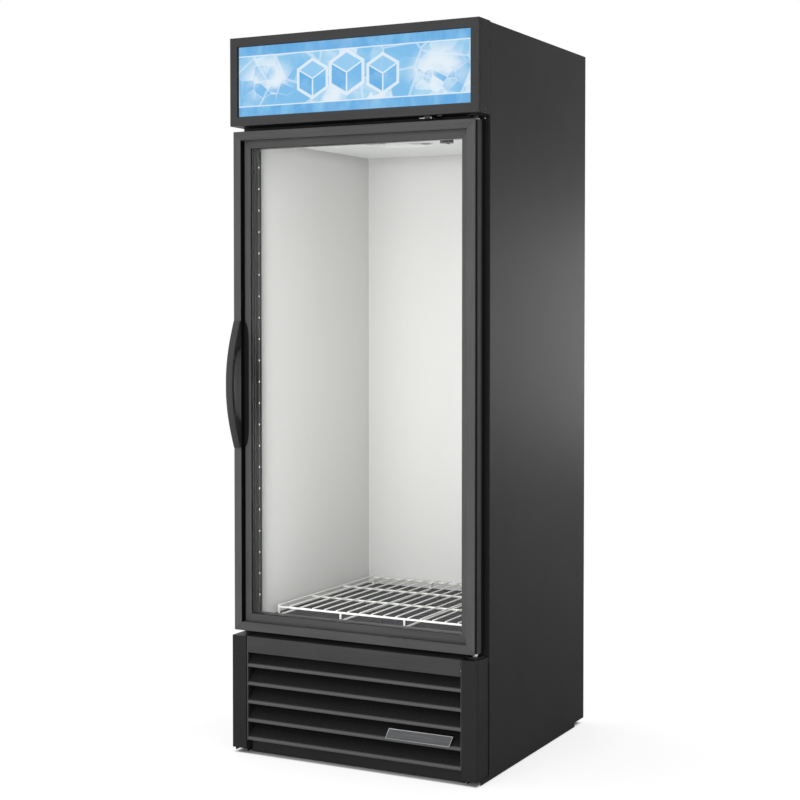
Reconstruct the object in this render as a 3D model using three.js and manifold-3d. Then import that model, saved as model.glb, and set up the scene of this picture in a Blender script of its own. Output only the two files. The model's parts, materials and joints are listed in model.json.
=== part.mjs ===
// One-door ice merchandiser freezer: a tall insulated cabinet with a lit sign, a glass door hung
// on its right, and a machine compartment behind a louvred grille.
// Millimetres, +X to the viewer's right, +Y to the back, +Z up. The origin lies on the floor,
// under the middle of the whole object.
import * as THREE from "three";
import { mergeVertices } from "three/addons/utils/BufferGeometryUtils.js";
import Module from "manifold-3d";

const wasm = await Module();
wasm.setup();

// ---- Overall sizes ----
const WIDTH = 762;
const HEIGHT = 1997;
const DEPTH = 759; // front of the door to the back panel
const FRONT_DEPTH = 72; // sign, door and grille stand this far in front of the body
const SIGN_RISE = 2.5; // top of the sign above the top of the body
const RAIL_HEIGHT = 14.5; // floor to the lower edge of the side panels
const GRILLE_TOP = 331; // floor to the top of the machine compartment
const SEAT = 0.3; // gap between pieces that touch
const RUNNING = 0.3; // gap round a turning pin, shaft or plug

// ---- Cabinet ----
const STEEL = 1.2; // outer sheet
const LINER = 1; // inner sheet
const SIDE_WALL = 56;
const BACK_WALL = 55;
const CEILING_WALL = 60;
const FLOOR_WALL = 37;
const HEADER_WALL = 60;
const HEADER_DROP = 37; // top of the doorway below the top of the door
const SILL = 8; // lip of the doorway above the cavity floor
const TRAY_LIP = 6;
const VENT = { width: 150, height: 9, gap: 36, pitch: 38, columns: 3, rows: 6 };

// ---- Sign ----
const SIGN_HEIGHT = 244;
const SIGN_BORDER = 25;
const BEZEL = { face: 6, skirt: 3, bevel: 1.5, slope: 3 };
const LENS = 3.6;
const HOUSING_LIP = 12;
const LIGHT_BAR = { width: 34, depth: 16, margin: 30 };

// ---- Door ----
const DOOR_GAP = 15.5; // above and below the door
const DOOR_SIDE_GAP = 10; // door narrower than the body, each side
const DOOR_THICKNESS = 60;
const FACE_BAND = 24.3; // flat outer band of the frame
const STEP_GROOVE = { width: 3.6, deep: 3 }; // between the outer band and the sunk inner one
const EDGE = { recess: 2.5, lip: 4, ribFrom: 18, ribTo: 40 }; // rib round the frame's outer edge
const FRAME_BAND = 46; // outer edge to the edge of the glass seen in front
const GLASS_RECESS = 18; // how far the inner band lies behind the outer one
const GLASS_BITE = 12; // how deep the glass pack sits in its channel
const GLASS_PACK = 27.6;
const PANE_OUTER = 4;
const PANE_MIDDLE = 3;
const PANE_INNER = 4;
const PANE_CLEARANCE = 1.5;
const SPACER_WIDTH = 10;
const CHAMBER_WALL = 5; // frame profile wall round its hollow
const MITRE_GAP = 0.2;
const GASKET = { inset: 11, width: 14, groove: 6, grooveDepth: 6 };
const DOOR_LIGHT = { thick: 4, width: 10, margin: 26 };

// ---- Handle ----
const HANDLE_LENGTH = 357;
const HANDLE_BOW = 48.5;
const HANDLE_WIDTH = 22;
const HANDLE_INSET = 4;
const HANDLE_BAR = 14; // thickness of the bow at its middle
const HANDLE_OPENING = 206; // height of the finger opening
const HANDLE_FOOT = 857; // floor to the lower tip
const HANDLE_TIP = 3;
const HANDLE_ROUND = 4;

// ---- Hinges and closer ----
const HINGE_INSET = 14; // pin axis from the edge of the door
const HINGE_DEPTH = 34; // pin axis behind the front of the door
const PIN_RADIUS = 5;
const BUSH_WALL = 2.7;
const BUSH_LENGTH = 24;
const BUSH_FLANGE = { radius: 11, thick: 1.5 };
const BRACKET = { thick: 4, width: 40, front: 22 };
const PIN_ENGAGEMENT = 20;
const TORSION_ROD = { radius: 3, length: 620 };

// ---- Lock and light switch under the sign ----
const LOCK = { fromEdge: 160, width: 15, depth: 20, y: 8, plug: 3.6, tip: 18, cam: 3, reach: 15 };
const SWITCH = { fromEdge: 119, width: 14, length: 22, lip: 1.5, y: 14, rise: 3 };

// ---- Base front ----
const POST_WIDTH = 46.5;
const POST_SHEET = 1.6;
const POST_ROUND = 4;
const POST_SIDE_GAP = 2; // post narrower than the body, each side
const GRILLE_CLEARANCE = 0.5;
const TOP_STRIP = { height: 45, recess: 2.5, sheet: 1.6, back: 30 };
const LOUVRE = { count: 5, pitch: 51.5, lowest: 43, lip: 9, sheet: 1.8, recess: 4, back: 44, rise: 40 };
const CHEEK = 2.5;
const KICK = { recess: 27, sheet: 1.8, lift: 1.5, inset: 52, flange: 14 };
const BADGE = { fromEdge: 173.5, width: 190, height: 29, slant: 12, thick: 2, above: 17.5 };

// ---- Base ----
const RAIL = { width: 40, sheet: 2, front: 20, backGap: 72, lift: 2, inset: 0.6 };
const FOOT = { radius: 14, pad: 7, stem: 5, height: 46, fromEnd: 60 };
const MACHINE_FLOOR = 1.6;

// ---- Floor rack ----
const RACK = {
  sideGap: 23,
  frontGap: 53,
  backGap: 14,
  height: 32,
  frame: 3,
  deck: 2,
  wires: 17,
  runners: 4,
  bearers: 4,
};

// ---- Evaporator ----
const EVAPORATOR = { sideGap: 26, front: 28, backGap: 44, aboveDoorway: 12, sheet: 1.2, nose: 34 };
const EVAPORATOR_FAN = {
  radius: 96,
  blade: 86,
  hub: 20,
  hubDepth: 26,
  y: 118,
  lift: 40,
  blades: 4,
  chord: 46,
  pitch: 30,
  arms: 3,
  armReach: 14,
};
const EVAPORATOR_COIL = { width: 430, depth: 120, height: 130, fins: 22, bends: 3, fromBack: 40 };
const GUARD = { rings: 3, wire: 3, spokes: 4 };
const DIAL = { fromEdge: 109, y: 44, radius: 19, height: 13, shaft: 3, flutes: 10 };
const DRIP_TRAY = { depth: 18, sheet: 1, overlap: 10 };

// ---- Condensing unit ----
const CONDENSER = { fromEdge: 286, y: 40, width: 330, depth: 62, height: 232, fins: 24, bends: 4 };
const SHROUD = { depth: 26, sheet: 1.5, lap: 6 };
const CONDENSER_FAN = {
  radius: 104,
  blade: 96,
  hub: 22,
  hubDepth: 28,
  blades: 5,
  chord: 58,
  pitch: 28,
  arms: 4,
  armReach: 12,
};
const BLADE_THICK = 2;
const SHAFT_REACH = 0.3; // shaft end past the middle of the hub, in hub depths
const MOTOR = { radius: 34, length: 52, shaft: 4, arm: 8, armThick: 4, leg: 6 };
const COMPRESSOR = { fromEdge: 191, y: 440, radius: 82, height: 196, feet: 24, foot: 6 };
const CONTROL_BOX = { besideShroud: 60, y: 120, width: 150, depth: 84, height: 118 };
const PAN = { fromEdge: 231, y: 520, width: 300, depth: 150, height: 44, sheet: 1.5 };
const CAN_WAIST = 0.96; // compressor can against its weld seam
const PIPE = { radius: 5, sides: 8, steps: 22, stub: 22, offset: 40, sweep: 90, lead: 40 };
const GROMMET = { fromEdge: 81, z: 90, radius: 14, lip: 4, thick: 3, bore: 6 };

// ---- Places worked out from the sizes ----
const halfWidth = WIDTH / 2;
const bodyTop = HEIGHT - SIGN_RISE;
const cavityHalf = halfWidth - SIDE_WALL;
const cavityFloor = GRILLE_TOP + FLOOR_WALL;
const cavityCeiling = bodyTop - CEILING_WALL;
const cavityBack = DEPTH - BACK_WALL;
const signBottom = HEIGHT - SIGN_HEIGHT;
const doorTop = signBottom - DOOR_GAP;
const doorBottom = GRILLE_TOP + DOOR_GAP;
const doorHalf = halfWidth - DOOR_SIDE_GAP;
const doorMiddle = (doorTop + doorBottom) / 2;
const doorHalfHeight = (doorTop - doorBottom) / 2;
const doorwayTop = doorTop - HEADER_DROP;
const doorwayBottom = cavityFloor + SILL;
const faceBack = FRONT_DEPTH + STEEL; // back of the sheet round the doorway
const shellBack = DEPTH - STEEL - SEAT; // where the wrap ends and the back panel begins
const hingeX = doorHalf - HINGE_INSET;
const compartmentTop = GRILLE_TOP - STEEL;
const machineFloorTop = RAIL_HEIGHT + MACHINE_FLOOR;
const postHalf = halfWidth - POST_SIDE_GAP;
const postInner = postHalf - POST_WIDTH;
const lockX = halfWidth - LOCK.fromEdge;
const switchX = halfWidth - SWITCH.fromEdge;
const badgeX = halfWidth - BADGE.fromEdge;
const grommetX = halfWidth - GROMMET.fromEdge;
const compressorX = halfWidth - COMPRESSOR.fromEdge;
const condenserX = CONDENSER.fromEdge - halfWidth;
const shroudSide = condenserX + CONDENSER.width / 2;
const controlBoxX = shroudSide + CONTROL_BOX.besideShroud + CONTROL_BOX.width / 2;
const panX = PAN.fromEdge - halfWidth;

// ---- Materials ----
function finish(color, roughness, metalness, extra = {}) {
  return new THREE.MeshStandardMaterial({ color, roughness, metalness, ...extra });
}
const blackPaint = finish(0x2b2c2d, 0.45, 0.2);
const blackFrame = finish(0x343536, 0.32, 0.3);
const blackPlastic = finish(0x1c1d1e, 0.5, 0);
const whiteLiner = finish(0xd9dbdb, 0.4, 0.1);
const foam = finish(0xe6d9a8, 0.95, 0);
const darkTray = finish(0x3a3638, 0.5, 0.1);
const whiteWire = finish(0xf0f0ea, 0.35, 0);
const zincSteel = finish(0xa9adb0, 0.42, 0.85);
const aluminium = finish(0xbfc3c6, 0.38, 0.9);
const copper = finish(0xb36a3e, 0.35, 0.9);
const rubber = finish(0x17181a, 0.8, 0);
const clearGlass = finish(0xdfe8e8, 0.05, 0, { transparent: true, opacity: 0.25 });
const litLens = finish(0xa9dcf5, 0.3, 0, { emissive: 0x4fa3cc, emissiveIntensity: 0.4 });
const lampWhite = finish(0xf4f6f2, 0.4, 0, { emissive: 0xffffff, emissiveIntensity: 0.5 });
const fanPlastic = finish(0x3c4045, 0.5, 0);
const compressorPaint = finish(0x111213, 0.35, 0.3);

// ---- Solids ----
function solid(geometry) {
  if (!geometry.isBufferGeometry) return geometry;
  const plain = geometry.index ? geometry.toNonIndexed() : geometry.clone();
  const bare = new THREE.BufferGeometry();
  bare.setAttribute("position", plain.getAttribute("position"));
  const merged = mergeVertices(bare, 1e-4);
  const mesh = new wasm.Mesh({
    numProp: 3,
    vertProperties: new Float32Array(merged.attributes.position.array),
    triVerts: new Uint32Array(merged.index.array),
  });
  return new wasm.Manifold(mesh);
}

function geometryOf(body) {
  const mesh = body.getMesh();
  const geometry = new THREE.BufferGeometry();
  geometry.setAttribute("position", new THREE.BufferAttribute(mesh.vertProperties, 3));
  geometry.setIndex(new THREE.BufferAttribute(mesh.triVerts, 1));
  return geometry;
}

function joined(pieces) {
  const [first, ...rest] = pieces.map(solid);
  return rest.reduce((sum, next) => sum.add(next), first);
}

function cut(piece, tools) {
  return tools.map(solid).reduce((left, tool) => left.subtract(tool), solid(piece));
}

// A block between two values on each axis.
function block([x0, x1], [y0, y1], [z0, z1]) {
  const geometry = new THREE.BoxGeometry(x1 - x0, y1 - y0, z1 - z0);
  return geometry.translate((x0 + x1) / 2, (y0 + y1) / 2, (z0 + z1) / 2);
}

// A closed outline, run counterclockwise because the extrusion turns its holes by that.
function loop(points) {
  const ring = points.map(([a, b]) => new THREE.Vector2(a, b));
  return THREE.ShapeUtils.isClockWise(ring) ? ring.reverse() : ring;
}

function outline(points, holes = []) {
  const shape = new THREE.Shape(loop(points));
  shape.holes = holes.map((hole) => new THREE.Path(loop(hole)));
  return shape;
}

const AXES = {
  x: [new THREE.Vector3(0, 1, 0), new THREE.Vector3(0, 0, 1), new THREE.Vector3(1, 0, 0)],
  y: [new THREE.Vector3(1, 0, 0), new THREE.Vector3(0, 0, 1), new THREE.Vector3(0, -1, 0)],
  z: [new THREE.Vector3(1, 0, 0), new THREE.Vector3(0, 1, 0), new THREE.Vector3(0, 0, 1)],
};

// A section drawn in the plane square to an axis, pushed along that axis from one value to another.
// Sections along x are drawn in (y, z), along y in (x, z) and along z in (x, y).
function prism(shape, axis, from, to, options = {}) {
  const geometry = new THREE.ExtrudeGeometry(shape, {
    depth: to - from,
    bevelEnabled: false,
    curveSegments: 8,
    ...options,
  });
  const [first, second, along] = AXES[axis];
  const turn = new THREE.Matrix4().makeBasis(first, second, along);
  const start = axis === "y" ? to : from;
  turn.setPosition(axis === "x" ? start : 0, axis === "y" ? start : 0, axis === "z" ? start : 0);
  return geometry.applyMatrix4(turn);
}

// A round bar between two points.
function bar(from, to, radius, sides = 8, endRadius = radius) {
  const start = new THREE.Vector3(...from);
  const run = new THREE.Vector3(...to).sub(start);
  const geometry = new THREE.CylinderGeometry(endRadius, radius, run.length(), sides);
  geometry.translate(0, run.length() / 2, 0);
  const turn = new THREE.Quaternion().setFromUnitVectors(new THREE.Vector3(0, 1, 0), run.normalize());
  return geometry.applyQuaternion(turn).translate(start.x, start.y, start.z);
}

// A profile of (distance from the axis, height) turned about +Z.
function turned(profile, segments) {
  const points = profile.map(([radius, height]) => new THREE.Vector2(radius, height));
  return new THREE.LatheGeometry(points, segments).rotateX(Math.PI / 2);
}

// A closed ring of (inset, depth) points led round a rectangle in XZ, mitred at its corners.
// The points run so that the ring's faces point outwards.
function rectangleRing(halfX, halfZ, profile) {
  const corners = [[-1, -1], [1, -1], [1, 1], [-1, 1]];
  const positions = [];
  for (const [x, z] of corners)
    for (const [inset, depth] of profile) positions.push(x * (halfX - inset), depth, z * (halfZ - inset));
  const count = profile.length;
  const faces = [];
  for (let corner = 0; corner < corners.length; corner++)
    for (let point = 0; point < count; point++) {
      const next = ((corner + 1) % corners.length) * count;
      const here = corner * count;
      const after = (point + 1) % count;
      faces.push(here + point, here + after, next + point);
      faces.push(here + after, next + after, next + point);
    }
  const geometry = new THREE.BufferGeometry();
  geometry.setAttribute("position", new THREE.Float32BufferAttribute(positions, 3));
  geometry.setIndex(faces);
  return geometry;
}

// ---- The scene graph ----
const freezer = new THREE.Group();
const frontTip = -HANDLE_BOW;
freezer.position.y = -(DEPTH + frontTip) / 2;
const door = new THREE.Group();
door.position.z = doorMiddle;
freezer.add(door);
const sign = new THREE.Group();
sign.position.z = signBottom + SIGN_HEIGHT / 2;
freezer.add(sign);

function add(group, name, shape, material) {
  const geometry = shape.isBufferGeometry ? shape : geometryOf(shape);
  const mesh = new THREE.Mesh(geometry, material);
  mesh.name = name;
  group.add(mesh);
  return mesh;
}

// ---- Cabinet shell ----
function cabinetWrap() {
  const outer = [
    [-halfWidth, RAIL_HEIGHT],
    [-halfWidth + STEEL, RAIL_HEIGHT],
    [-halfWidth + STEEL, compartmentTop],
    [halfWidth - STEEL, compartmentTop],
    [halfWidth - STEEL, RAIL_HEIGHT],
    [halfWidth, RAIL_HEIGHT],
    [halfWidth, bodyTop],
    [-halfWidth, bodyTop],
  ];
  const foamSpace = [
    [-halfWidth + STEEL, GRILLE_TOP],
    [halfWidth - STEEL, GRILLE_TOP],
    [halfWidth - STEEL, bodyTop - STEEL],
    [-halfWidth + STEEL, bodyTop - STEEL],
  ];
  return prism(outline(outer, [foamSpace]), "y", FRONT_DEPTH, shellBack);
}
add(freezer, "cabinet_wrap", cabinetWrap(), blackPaint);

const foamHalf = halfWidth - STEEL - SEAT;
const foamBottom = GRILLE_TOP + SEAT;
const foamTop = bodyTop - STEEL - SEAT;

function faceFrame() {
  const plate = [[-foamHalf, foamBottom], [foamHalf, foamBottom], [foamHalf, foamTop], [-foamHalf, foamTop]];
  const doorway = [
    [-cavityHalf, doorwayBottom],
    [cavityHalf, doorwayBottom],
    [cavityHalf, doorwayTop],
    [-cavityHalf, doorwayTop],
  ];
  return prism(outline(plate, [doorway]), "y", FRONT_DEPTH, faceBack);
}
add(freezer, "face_frame", faceFrame(), blackFrame);

// The cavity and its doorway as one space, grown by a margin on every wall.
const linerFront = faceBack + SEAT;
function cavitySpace(margin, front) {
  const headerBack = linerFront + HEADER_WALL;
  return joined([
    block(
      [-cavityHalf - margin, cavityHalf + margin],
      [headerBack - margin, cavityBack + margin],
      [cavityFloor - margin, cavityCeiling + margin],
    ),
    block(
      [-cavityHalf - margin, cavityHalf + margin],
      [front, headerBack + margin],
      [cavityFloor - margin, doorwayTop + margin],
    ),
  ]);
}

function innerLiner() {
  const shell = cavitySpace(LINER, linerFront);
  const sill = block(
    [-cavityHalf - LINER, cavityHalf + LINER],
    [linerFront, linerFront + LINER],
    [cavityFloor - LINER, doorwayBottom],
  );
  return joined([cut(shell, [cavitySpace(0, linerFront - 1)]), sill]);
}
add(freezer, "inner_liner", innerLiner(), whiteLiner);

function insulation() {
  const body = block([-foamHalf, foamHalf], [linerFront, shellBack], [foamBottom, foamTop]);
  return cut(body, [cavitySpace(LINER + SEAT, linerFront - 1)]);
}
add(freezer, "insulation_foam", insulation(), foam);

const backBottom = GRILLE_TOP - RAIL_HEIGHT;
add(
  freezer,
  "back_panel",
  block([-halfWidth, halfWidth], [DEPTH - STEEL, DEPTH], [backBottom, bodyTop]),
  zincSteel,
);

function rearVentCover() {
  const top = backBottom - SEAT;
  const middle = (top + machineFloorTop) / 2;
  const slots = [];
  for (let column = 0; column < VENT.columns; column++)
    for (let row = 0; row < VENT.rows; row++) {
      const x = (column - (VENT.columns - 1) / 2) * (VENT.width + VENT.gap);
      const z = middle + (row - (VENT.rows - 1) / 2) * VENT.pitch;
      const slot = new THREE.Path();
      const round = VENT.height / 2;
      const straight = VENT.width / 2 - round;
      slot.absarc(x + straight, z, round, -Math.PI / 2, Math.PI / 2, false);
      slot.absarc(x - straight, z, round, Math.PI / 2, (3 * Math.PI) / 2, false);
      slots.push(slot);
    }
  const plate = outline([
    [-halfWidth, RAIL_HEIGHT],
    [halfWidth, RAIL_HEIGHT],
    [halfWidth, top],
    [-halfWidth, top],
  ]);
  plate.holes.push(...slots);
  const cover = prism(plate, "y", DEPTH - STEEL, DEPTH, { curveSegments: 2 });
  const bore = bar([grommetX, DEPTH - GROMMET.thick * 2, GROMMET.z], [grommetX, DEPTH + 1, GROMMET.z],
    GROMMET.radius - GROMMET.lip + SEAT, 16);
  return cut(cover, [bore]);
}
add(freezer, "rear_vent_cover", rearVentCover(), zincSteel);

function cableGrommet() {
  const neck = GROMMET.radius - GROMMET.lip;
  const inside = STEEL + SEAT;
  const ring = turned(
    [
      [GROMMET.bore, -inside - GROMMET.thick],
      [GROMMET.radius, -inside - GROMMET.thick],
      [GROMMET.radius, -inside],
      [neck, -inside],
      [neck, 0],
      [GROMMET.bore, 0],
      [GROMMET.bore, -inside - GROMMET.thick],
    ],
    16,
  );
  return ring.rotateX(-Math.PI / 2).translate(grommetX, DEPTH, GROMMET.z);
}
add(freezer, "cable_grommet", cableGrommet(), rubber);

function floorTray() {
  const half = cavityHalf - 2 * SEAT;
  const bottom = cavityFloor + SEAT;
  const front = linerFront + LINER + SEAT;
  const body = block([-half, half], [front, cavityBack - SEAT], [bottom, bottom + TRAY_LIP]);
  const hollow = block(
    [-half + LINER, half - LINER],
    [front + LINER, cavityBack - SEAT - LINER],
    [bottom + LINER, bottom + TRAY_LIP + 1],
  );
  return cut(body, [hollow]);
}
add(freezer, "floor_tray", floorTray(), darkTray);

// ---- Sign ----
const signHalfHeight = SIGN_HEIGHT / 2;
const lensFront = BEZEL.face + SEAT;
const housingFront = lensFront + LENS + SEAT;
const housingBack = FRONT_DEPTH - SEAT;

function signBezel() {
  return rectangleRing(halfWidth, signHalfHeight, [
    [0, BEZEL.bevel],
    [0, housingFront - SEAT],
    [BEZEL.skirt, housingFront - SEAT],
    [BEZEL.skirt, BEZEL.face],
    [SIGN_BORDER, BEZEL.face],
    [SIGN_BORDER, BEZEL.slope],
    [SIGN_BORDER - BEZEL.bevel, 0],
    [BEZEL.bevel, 0],
  ]);
}
add(sign, "sign_bezel", signBezel(), blackFrame);

const lensHalf = halfWidth - BEZEL.skirt - SEAT;
const lensHalfHeight = signHalfHeight - BEZEL.skirt - SEAT;
add(
  sign,
  "sign_lens",
  block([-lensHalf, lensHalf], [lensFront, lensFront + LENS], [-lensHalfHeight, lensHalfHeight]),
  litLens,
);

function signHousing() {
  const shell = block(
    [-halfWidth, halfWidth],
    [housingFront, housingBack],
    [-signHalfHeight, signHalfHeight],
  );
  const room = block(
    [-halfWidth + STEEL, halfWidth - STEEL],
    [housingFront + STEEL, housingBack - STEEL],
    [-signHalfHeight + STEEL, signHalfHeight - STEEL],
  );
  const mouth = block(
    [-halfWidth + HOUSING_LIP, halfWidth - HOUSING_LIP],
    [housingFront - 1, housingFront + STEEL + 1],
    [-signHalfHeight + HOUSING_LIP, signHalfHeight - HOUSING_LIP],
  );
  const switchHole = block(
    [switchX - SWITCH.width / 2 - SEAT, switchX + SWITCH.width / 2 + SEAT],
    [SWITCH.y - SEAT, SWITCH.y + SWITCH.length + SEAT],
    [-signHalfHeight - 1, -signHalfHeight + STEEL + 1],
  );
  return cut(shell, [room, mouth, switchHole]);
}
add(sign, "sign_housing", signHousing(), blackPaint);

function signLightBar() {
  const back = housingBack - STEEL - SEAT;
  const half = LIGHT_BAR.width / 2;
  const end = halfWidth - LIGHT_BAR.margin;
  const section = new THREE.Shape();
  section.moveTo(back, -half);
  section.lineTo(back, half);
  section.lineTo(back - LIGHT_BAR.depth / 2, half);
  section.bezierCurveTo(
    back - LIGHT_BAR.depth * 1.2, half * 0.8,
    back - LIGHT_BAR.depth * 1.2, -half * 0.8,
    back - LIGHT_BAR.depth / 2, -half,
  );
  return prism(section, "x", -end, end);
}
add(sign, "sign_light_bar", signLightBar(), lampWhite);

// The rocker turns on an axis along X, in a hole through the underside of the sign.
const rockerAxisY = SWITCH.y + SWITCH.length / 2;
const rockerAxisZ = signBottom + STEEL / 2;
function lightSwitch() {
  const half = SWITCH.length / 2 - SEAT;
  const section = [
    [-half, SWITCH.rise],
    [-half * 0.94, -SWITCH.rise * 1.5],
    [0, -SWITCH.rise * 0.4],
    [half * 0.94, -SWITCH.rise * 0.5],
    [half * 0.96, SWITCH.rise],
  ];
  const rocker = prism(outline(section), "x", -SWITCH.width / 2 + SEAT, SWITCH.width / 2 - SEAT);
  return rocker.translate(switchX, rockerAxisY, rockerAxisZ);
}
add(freezer, "light_switch", lightSwitch(), blackPlastic);

// ---- Door lock ----
const lockTop = signBottom - SEAT;
const lockHeight = DOOR_GAP - 4;
const lockAxisZ = lockTop - lockHeight / 2;
const lockAxisY = LOCK.y + LOCK.depth / 3;
function lockBody() {
  const section = new THREE.Shape();
  const round = lockHeight / 2;
  section.moveTo(LOCK.y + LOCK.depth, lockTop);
  section.lineTo(LOCK.y, lockTop);
  section.lineTo(LOCK.y, lockAxisZ);
  section.absarc(LOCK.y + round, lockAxisZ, round, Math.PI, Math.PI * 1.5, false);
  section.lineTo(LOCK.y + LOCK.depth, lockTop - lockHeight);
  const body = prism(section, "x", lockX, lockX + LOCK.width);
  const bore = bar([lockX - 1, lockAxisY, lockAxisZ], [lockX + LOCK.width + 1, lockAxisY, lockAxisZ],
    LOCK.plug + RUNNING, 16);
  return cut(body, [bore]);
}
add(freezer, "lock_body", lockBody(), blackPlastic);

const camFrom = lockX + LOCK.width + SEAT;
function lockPlug() {
  const end = camFrom + LOCK.cam;
  const tip = lockX - LOCK.tip;
  const shaft = bar([lockX - SEAT, lockAxisY, lockAxisZ], [end, lockAxisY, lockAxisZ], LOCK.plug, 16);
  const key = bar([tip, lockAxisY, lockAxisZ], [lockX - SEAT, lockAxisY, lockAxisZ], LOCK.plug * 0.5, 16,
    LOCK.plug + 0.8);
  const cam = block([camFrom, end], [lockAxisY - LOCK.plug, lockAxisY + LOCK.reach],
    [lockAxisZ - LOCK.plug * 0.8, lockAxisZ + LOCK.plug * 0.8]);
  return joined([shaft, key, cam]);
}
add(freezer, "lock_plug", lockPlug(), zincSteel);

// ---- Door frame ----
const channelInset = FRAME_BAND - GLASS_BITE;
const channelFront = GLASS_RECESS + 1.2;
const channelBack = channelFront + GLASS_PACK;
const stepFloor = GLASS_RECESS + STEP_GROOVE.deep;
const gasketGroove = GASKET.inset + (GASKET.width - GASKET.groove) / 2;

const frameProfile = [
  [0, 2],
  [2, 0],
  [FACE_BAND, 0],
  [FACE_BAND, stepFloor],
  [FACE_BAND + STEP_GROOVE.width, stepFloor],
  [FACE_BAND + STEP_GROOVE.width, GLASS_RECESS],
  [FRAME_BAND, GLASS_RECESS],
  [FRAME_BAND, channelFront],
  [channelInset, channelFront],
  [channelInset, channelBack],
  [FRAME_BAND, channelBack],
  [FRAME_BAND, DOOR_THICKNESS],
  [gasketGroove + GASKET.groove, DOOR_THICKNESS],
  [gasketGroove + GASKET.groove, DOOR_THICKNESS - GASKET.grooveDepth],
  [gasketGroove, DOOR_THICKNESS - GASKET.grooveDepth],
  [gasketGroove, DOOR_THICKNESS],
  [EDGE.recess, DOOR_THICKNESS],
  [EDGE.recess, EDGE.ribTo],
  [0, EDGE.ribTo],
  [0, EDGE.ribFrom],
  [EDGE.recess, EDGE.ribFrom],
  [EDGE.recess, EDGE.lip],
  [0, EDGE.lip],
];
const chamber = [
  [CHAMBER_WALL, CHAMBER_WALL + 3],
  [FACE_BAND - CHAMBER_WALL, CHAMBER_WALL + 3],
  [FACE_BAND - CHAMBER_WALL, stepFloor + CHAMBER_WALL],
  [channelInset - CHAMBER_WALL, stepFloor + CHAMBER_WALL],
  [channelInset - CHAMBER_WALL, DOOR_THICKNESS - GASKET.grooveDepth - CHAMBER_WALL + 1],
  [CHAMBER_WALL, DOOR_THICKNESS - GASKET.grooveDepth - CHAMBER_WALL + 1],
];

// A frame member along the lower edge of the door, mitred at both ends, turned to its own edge.
function frameMember(halfLength, halfAcross, turn) {
  const geometry = prism(
    outline(frameProfile.map(([inset, depth]) => [depth, inset - halfAcross]),
      [chamber.map(([inset, depth]) => [depth, inset - halfAcross])]),
    "x", -halfLength, halfLength,
  );
  const position = geometry.attributes.position;
  for (let i = 0; i < position.count; i++) {
    const inset = position.getZ(i) + halfAcross;
    position.setX(i, Math.sign(position.getX(i)) * (halfLength - inset - MITRE_GAP));
  }
  return geometry.rotateY(turn);
}

const bushRadius = PIN_RADIUS + RUNNING + BUSH_WALL;
function bushBore(side) {
  const end = side * doorHalfHeight;
  return bar([hingeX, HINGE_DEPTH, end + side], [hingeX, HINGE_DEPTH, end - side * (BUSH_LENGTH + 1)],
    bushRadius + SEAT, 20);
}

function camSlot() {
  return block(
    [camFrom - 1.5, camFrom + LOCK.cam + 1.5],
    [lockAxisY - LOCK.plug - 1.5, lockAxisY + LOCK.reach + 2],
    [doorHalfHeight - CHAMBER_WALL - 1, doorHalfHeight + 1],
  );
}

const rightStile = frameMember(doorHalfHeight, doorHalf, -Math.PI / 2);
const topRail = frameMember(doorHalf, doorHalfHeight, Math.PI);
const bottomRail = frameMember(doorHalf, doorHalfHeight, 0);
add(door, "door_left_stile", frameMember(doorHalfHeight, doorHalf, Math.PI / 2), blackFrame);
add(door, "door_right_stile", cut(rightStile, [bushBore(1), bushBore(-1)]), blackFrame);
add(door, "door_top_rail", cut(topRail, [bushBore(1), camSlot()]), blackFrame);
add(door, "door_bottom_rail", cut(bottomRail, [bushBore(-1)]), blackFrame);

// ---- Door glass ----
const paneHalf = doorHalf - channelInset - PANE_CLEARANCE;
const paneHalfHeight = doorHalfHeight - channelInset - PANE_CLEARANCE;
const spacerDepth = (GLASS_PACK - PANE_OUTER - PANE_MIDDLE - PANE_INNER - 6 * SEAT) / 2;
let layer = channelFront + SEAT;
function pane(name, thickness) {
  const span = [layer, layer + thickness];
  add(door, name, block([-paneHalf, paneHalf], span, [-paneHalfHeight, paneHalfHeight]), clearGlass);
  layer += thickness + SEAT;
}
function spacer(name) {
  const ring = rectangleRing(paneHalf, paneHalfHeight, [
    [PANE_CLEARANCE, layer],
    [PANE_CLEARANCE, layer + spacerDepth],
    [PANE_CLEARANCE + SPACER_WIDTH, layer + spacerDepth],
    [PANE_CLEARANCE + SPACER_WIDTH, layer],
  ]);
  add(door, name, ring, blackPlastic);
  layer += spacerDepth + SEAT;
}
pane("door_glass_outer", PANE_OUTER);
spacer("glass_spacer_outer");
pane("door_glass_middle", PANE_MIDDLE);
spacer("glass_spacer_inner");
pane("door_glass_inner", PANE_INNER);

// ---- Door gasket: a bellows with a foot that sits in the groove of the frame ----
function doorGasket() {
  const back = DOOR_THICKNESS + SEAT;
  const seal = FRONT_DEPTH - SEAT;
  const waist = (back + seal) / 2;
  const left = GASKET.inset;
  const right = GASKET.inset + GASKET.width;
  return rectangleRing(doorHalf, doorHalfHeight, [
    [left, back],
    [left + 2, waist],
    [left, seal - 3],
    [left, seal],
    [right, seal],
    [right, seal - 3],
    [right - 2, waist],
    [right, back],
    [gasketGroove + GASKET.groove - SEAT, back],
    [gasketGroove + GASKET.groove - SEAT, back - GASKET.grooveDepth + 1],
    [gasketGroove + SEAT, back - GASKET.grooveDepth + 1],
    [gasketGroove + SEAT, back],
  ]);
}
add(door, "door_gasket", doorGasket(), rubber);

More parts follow.
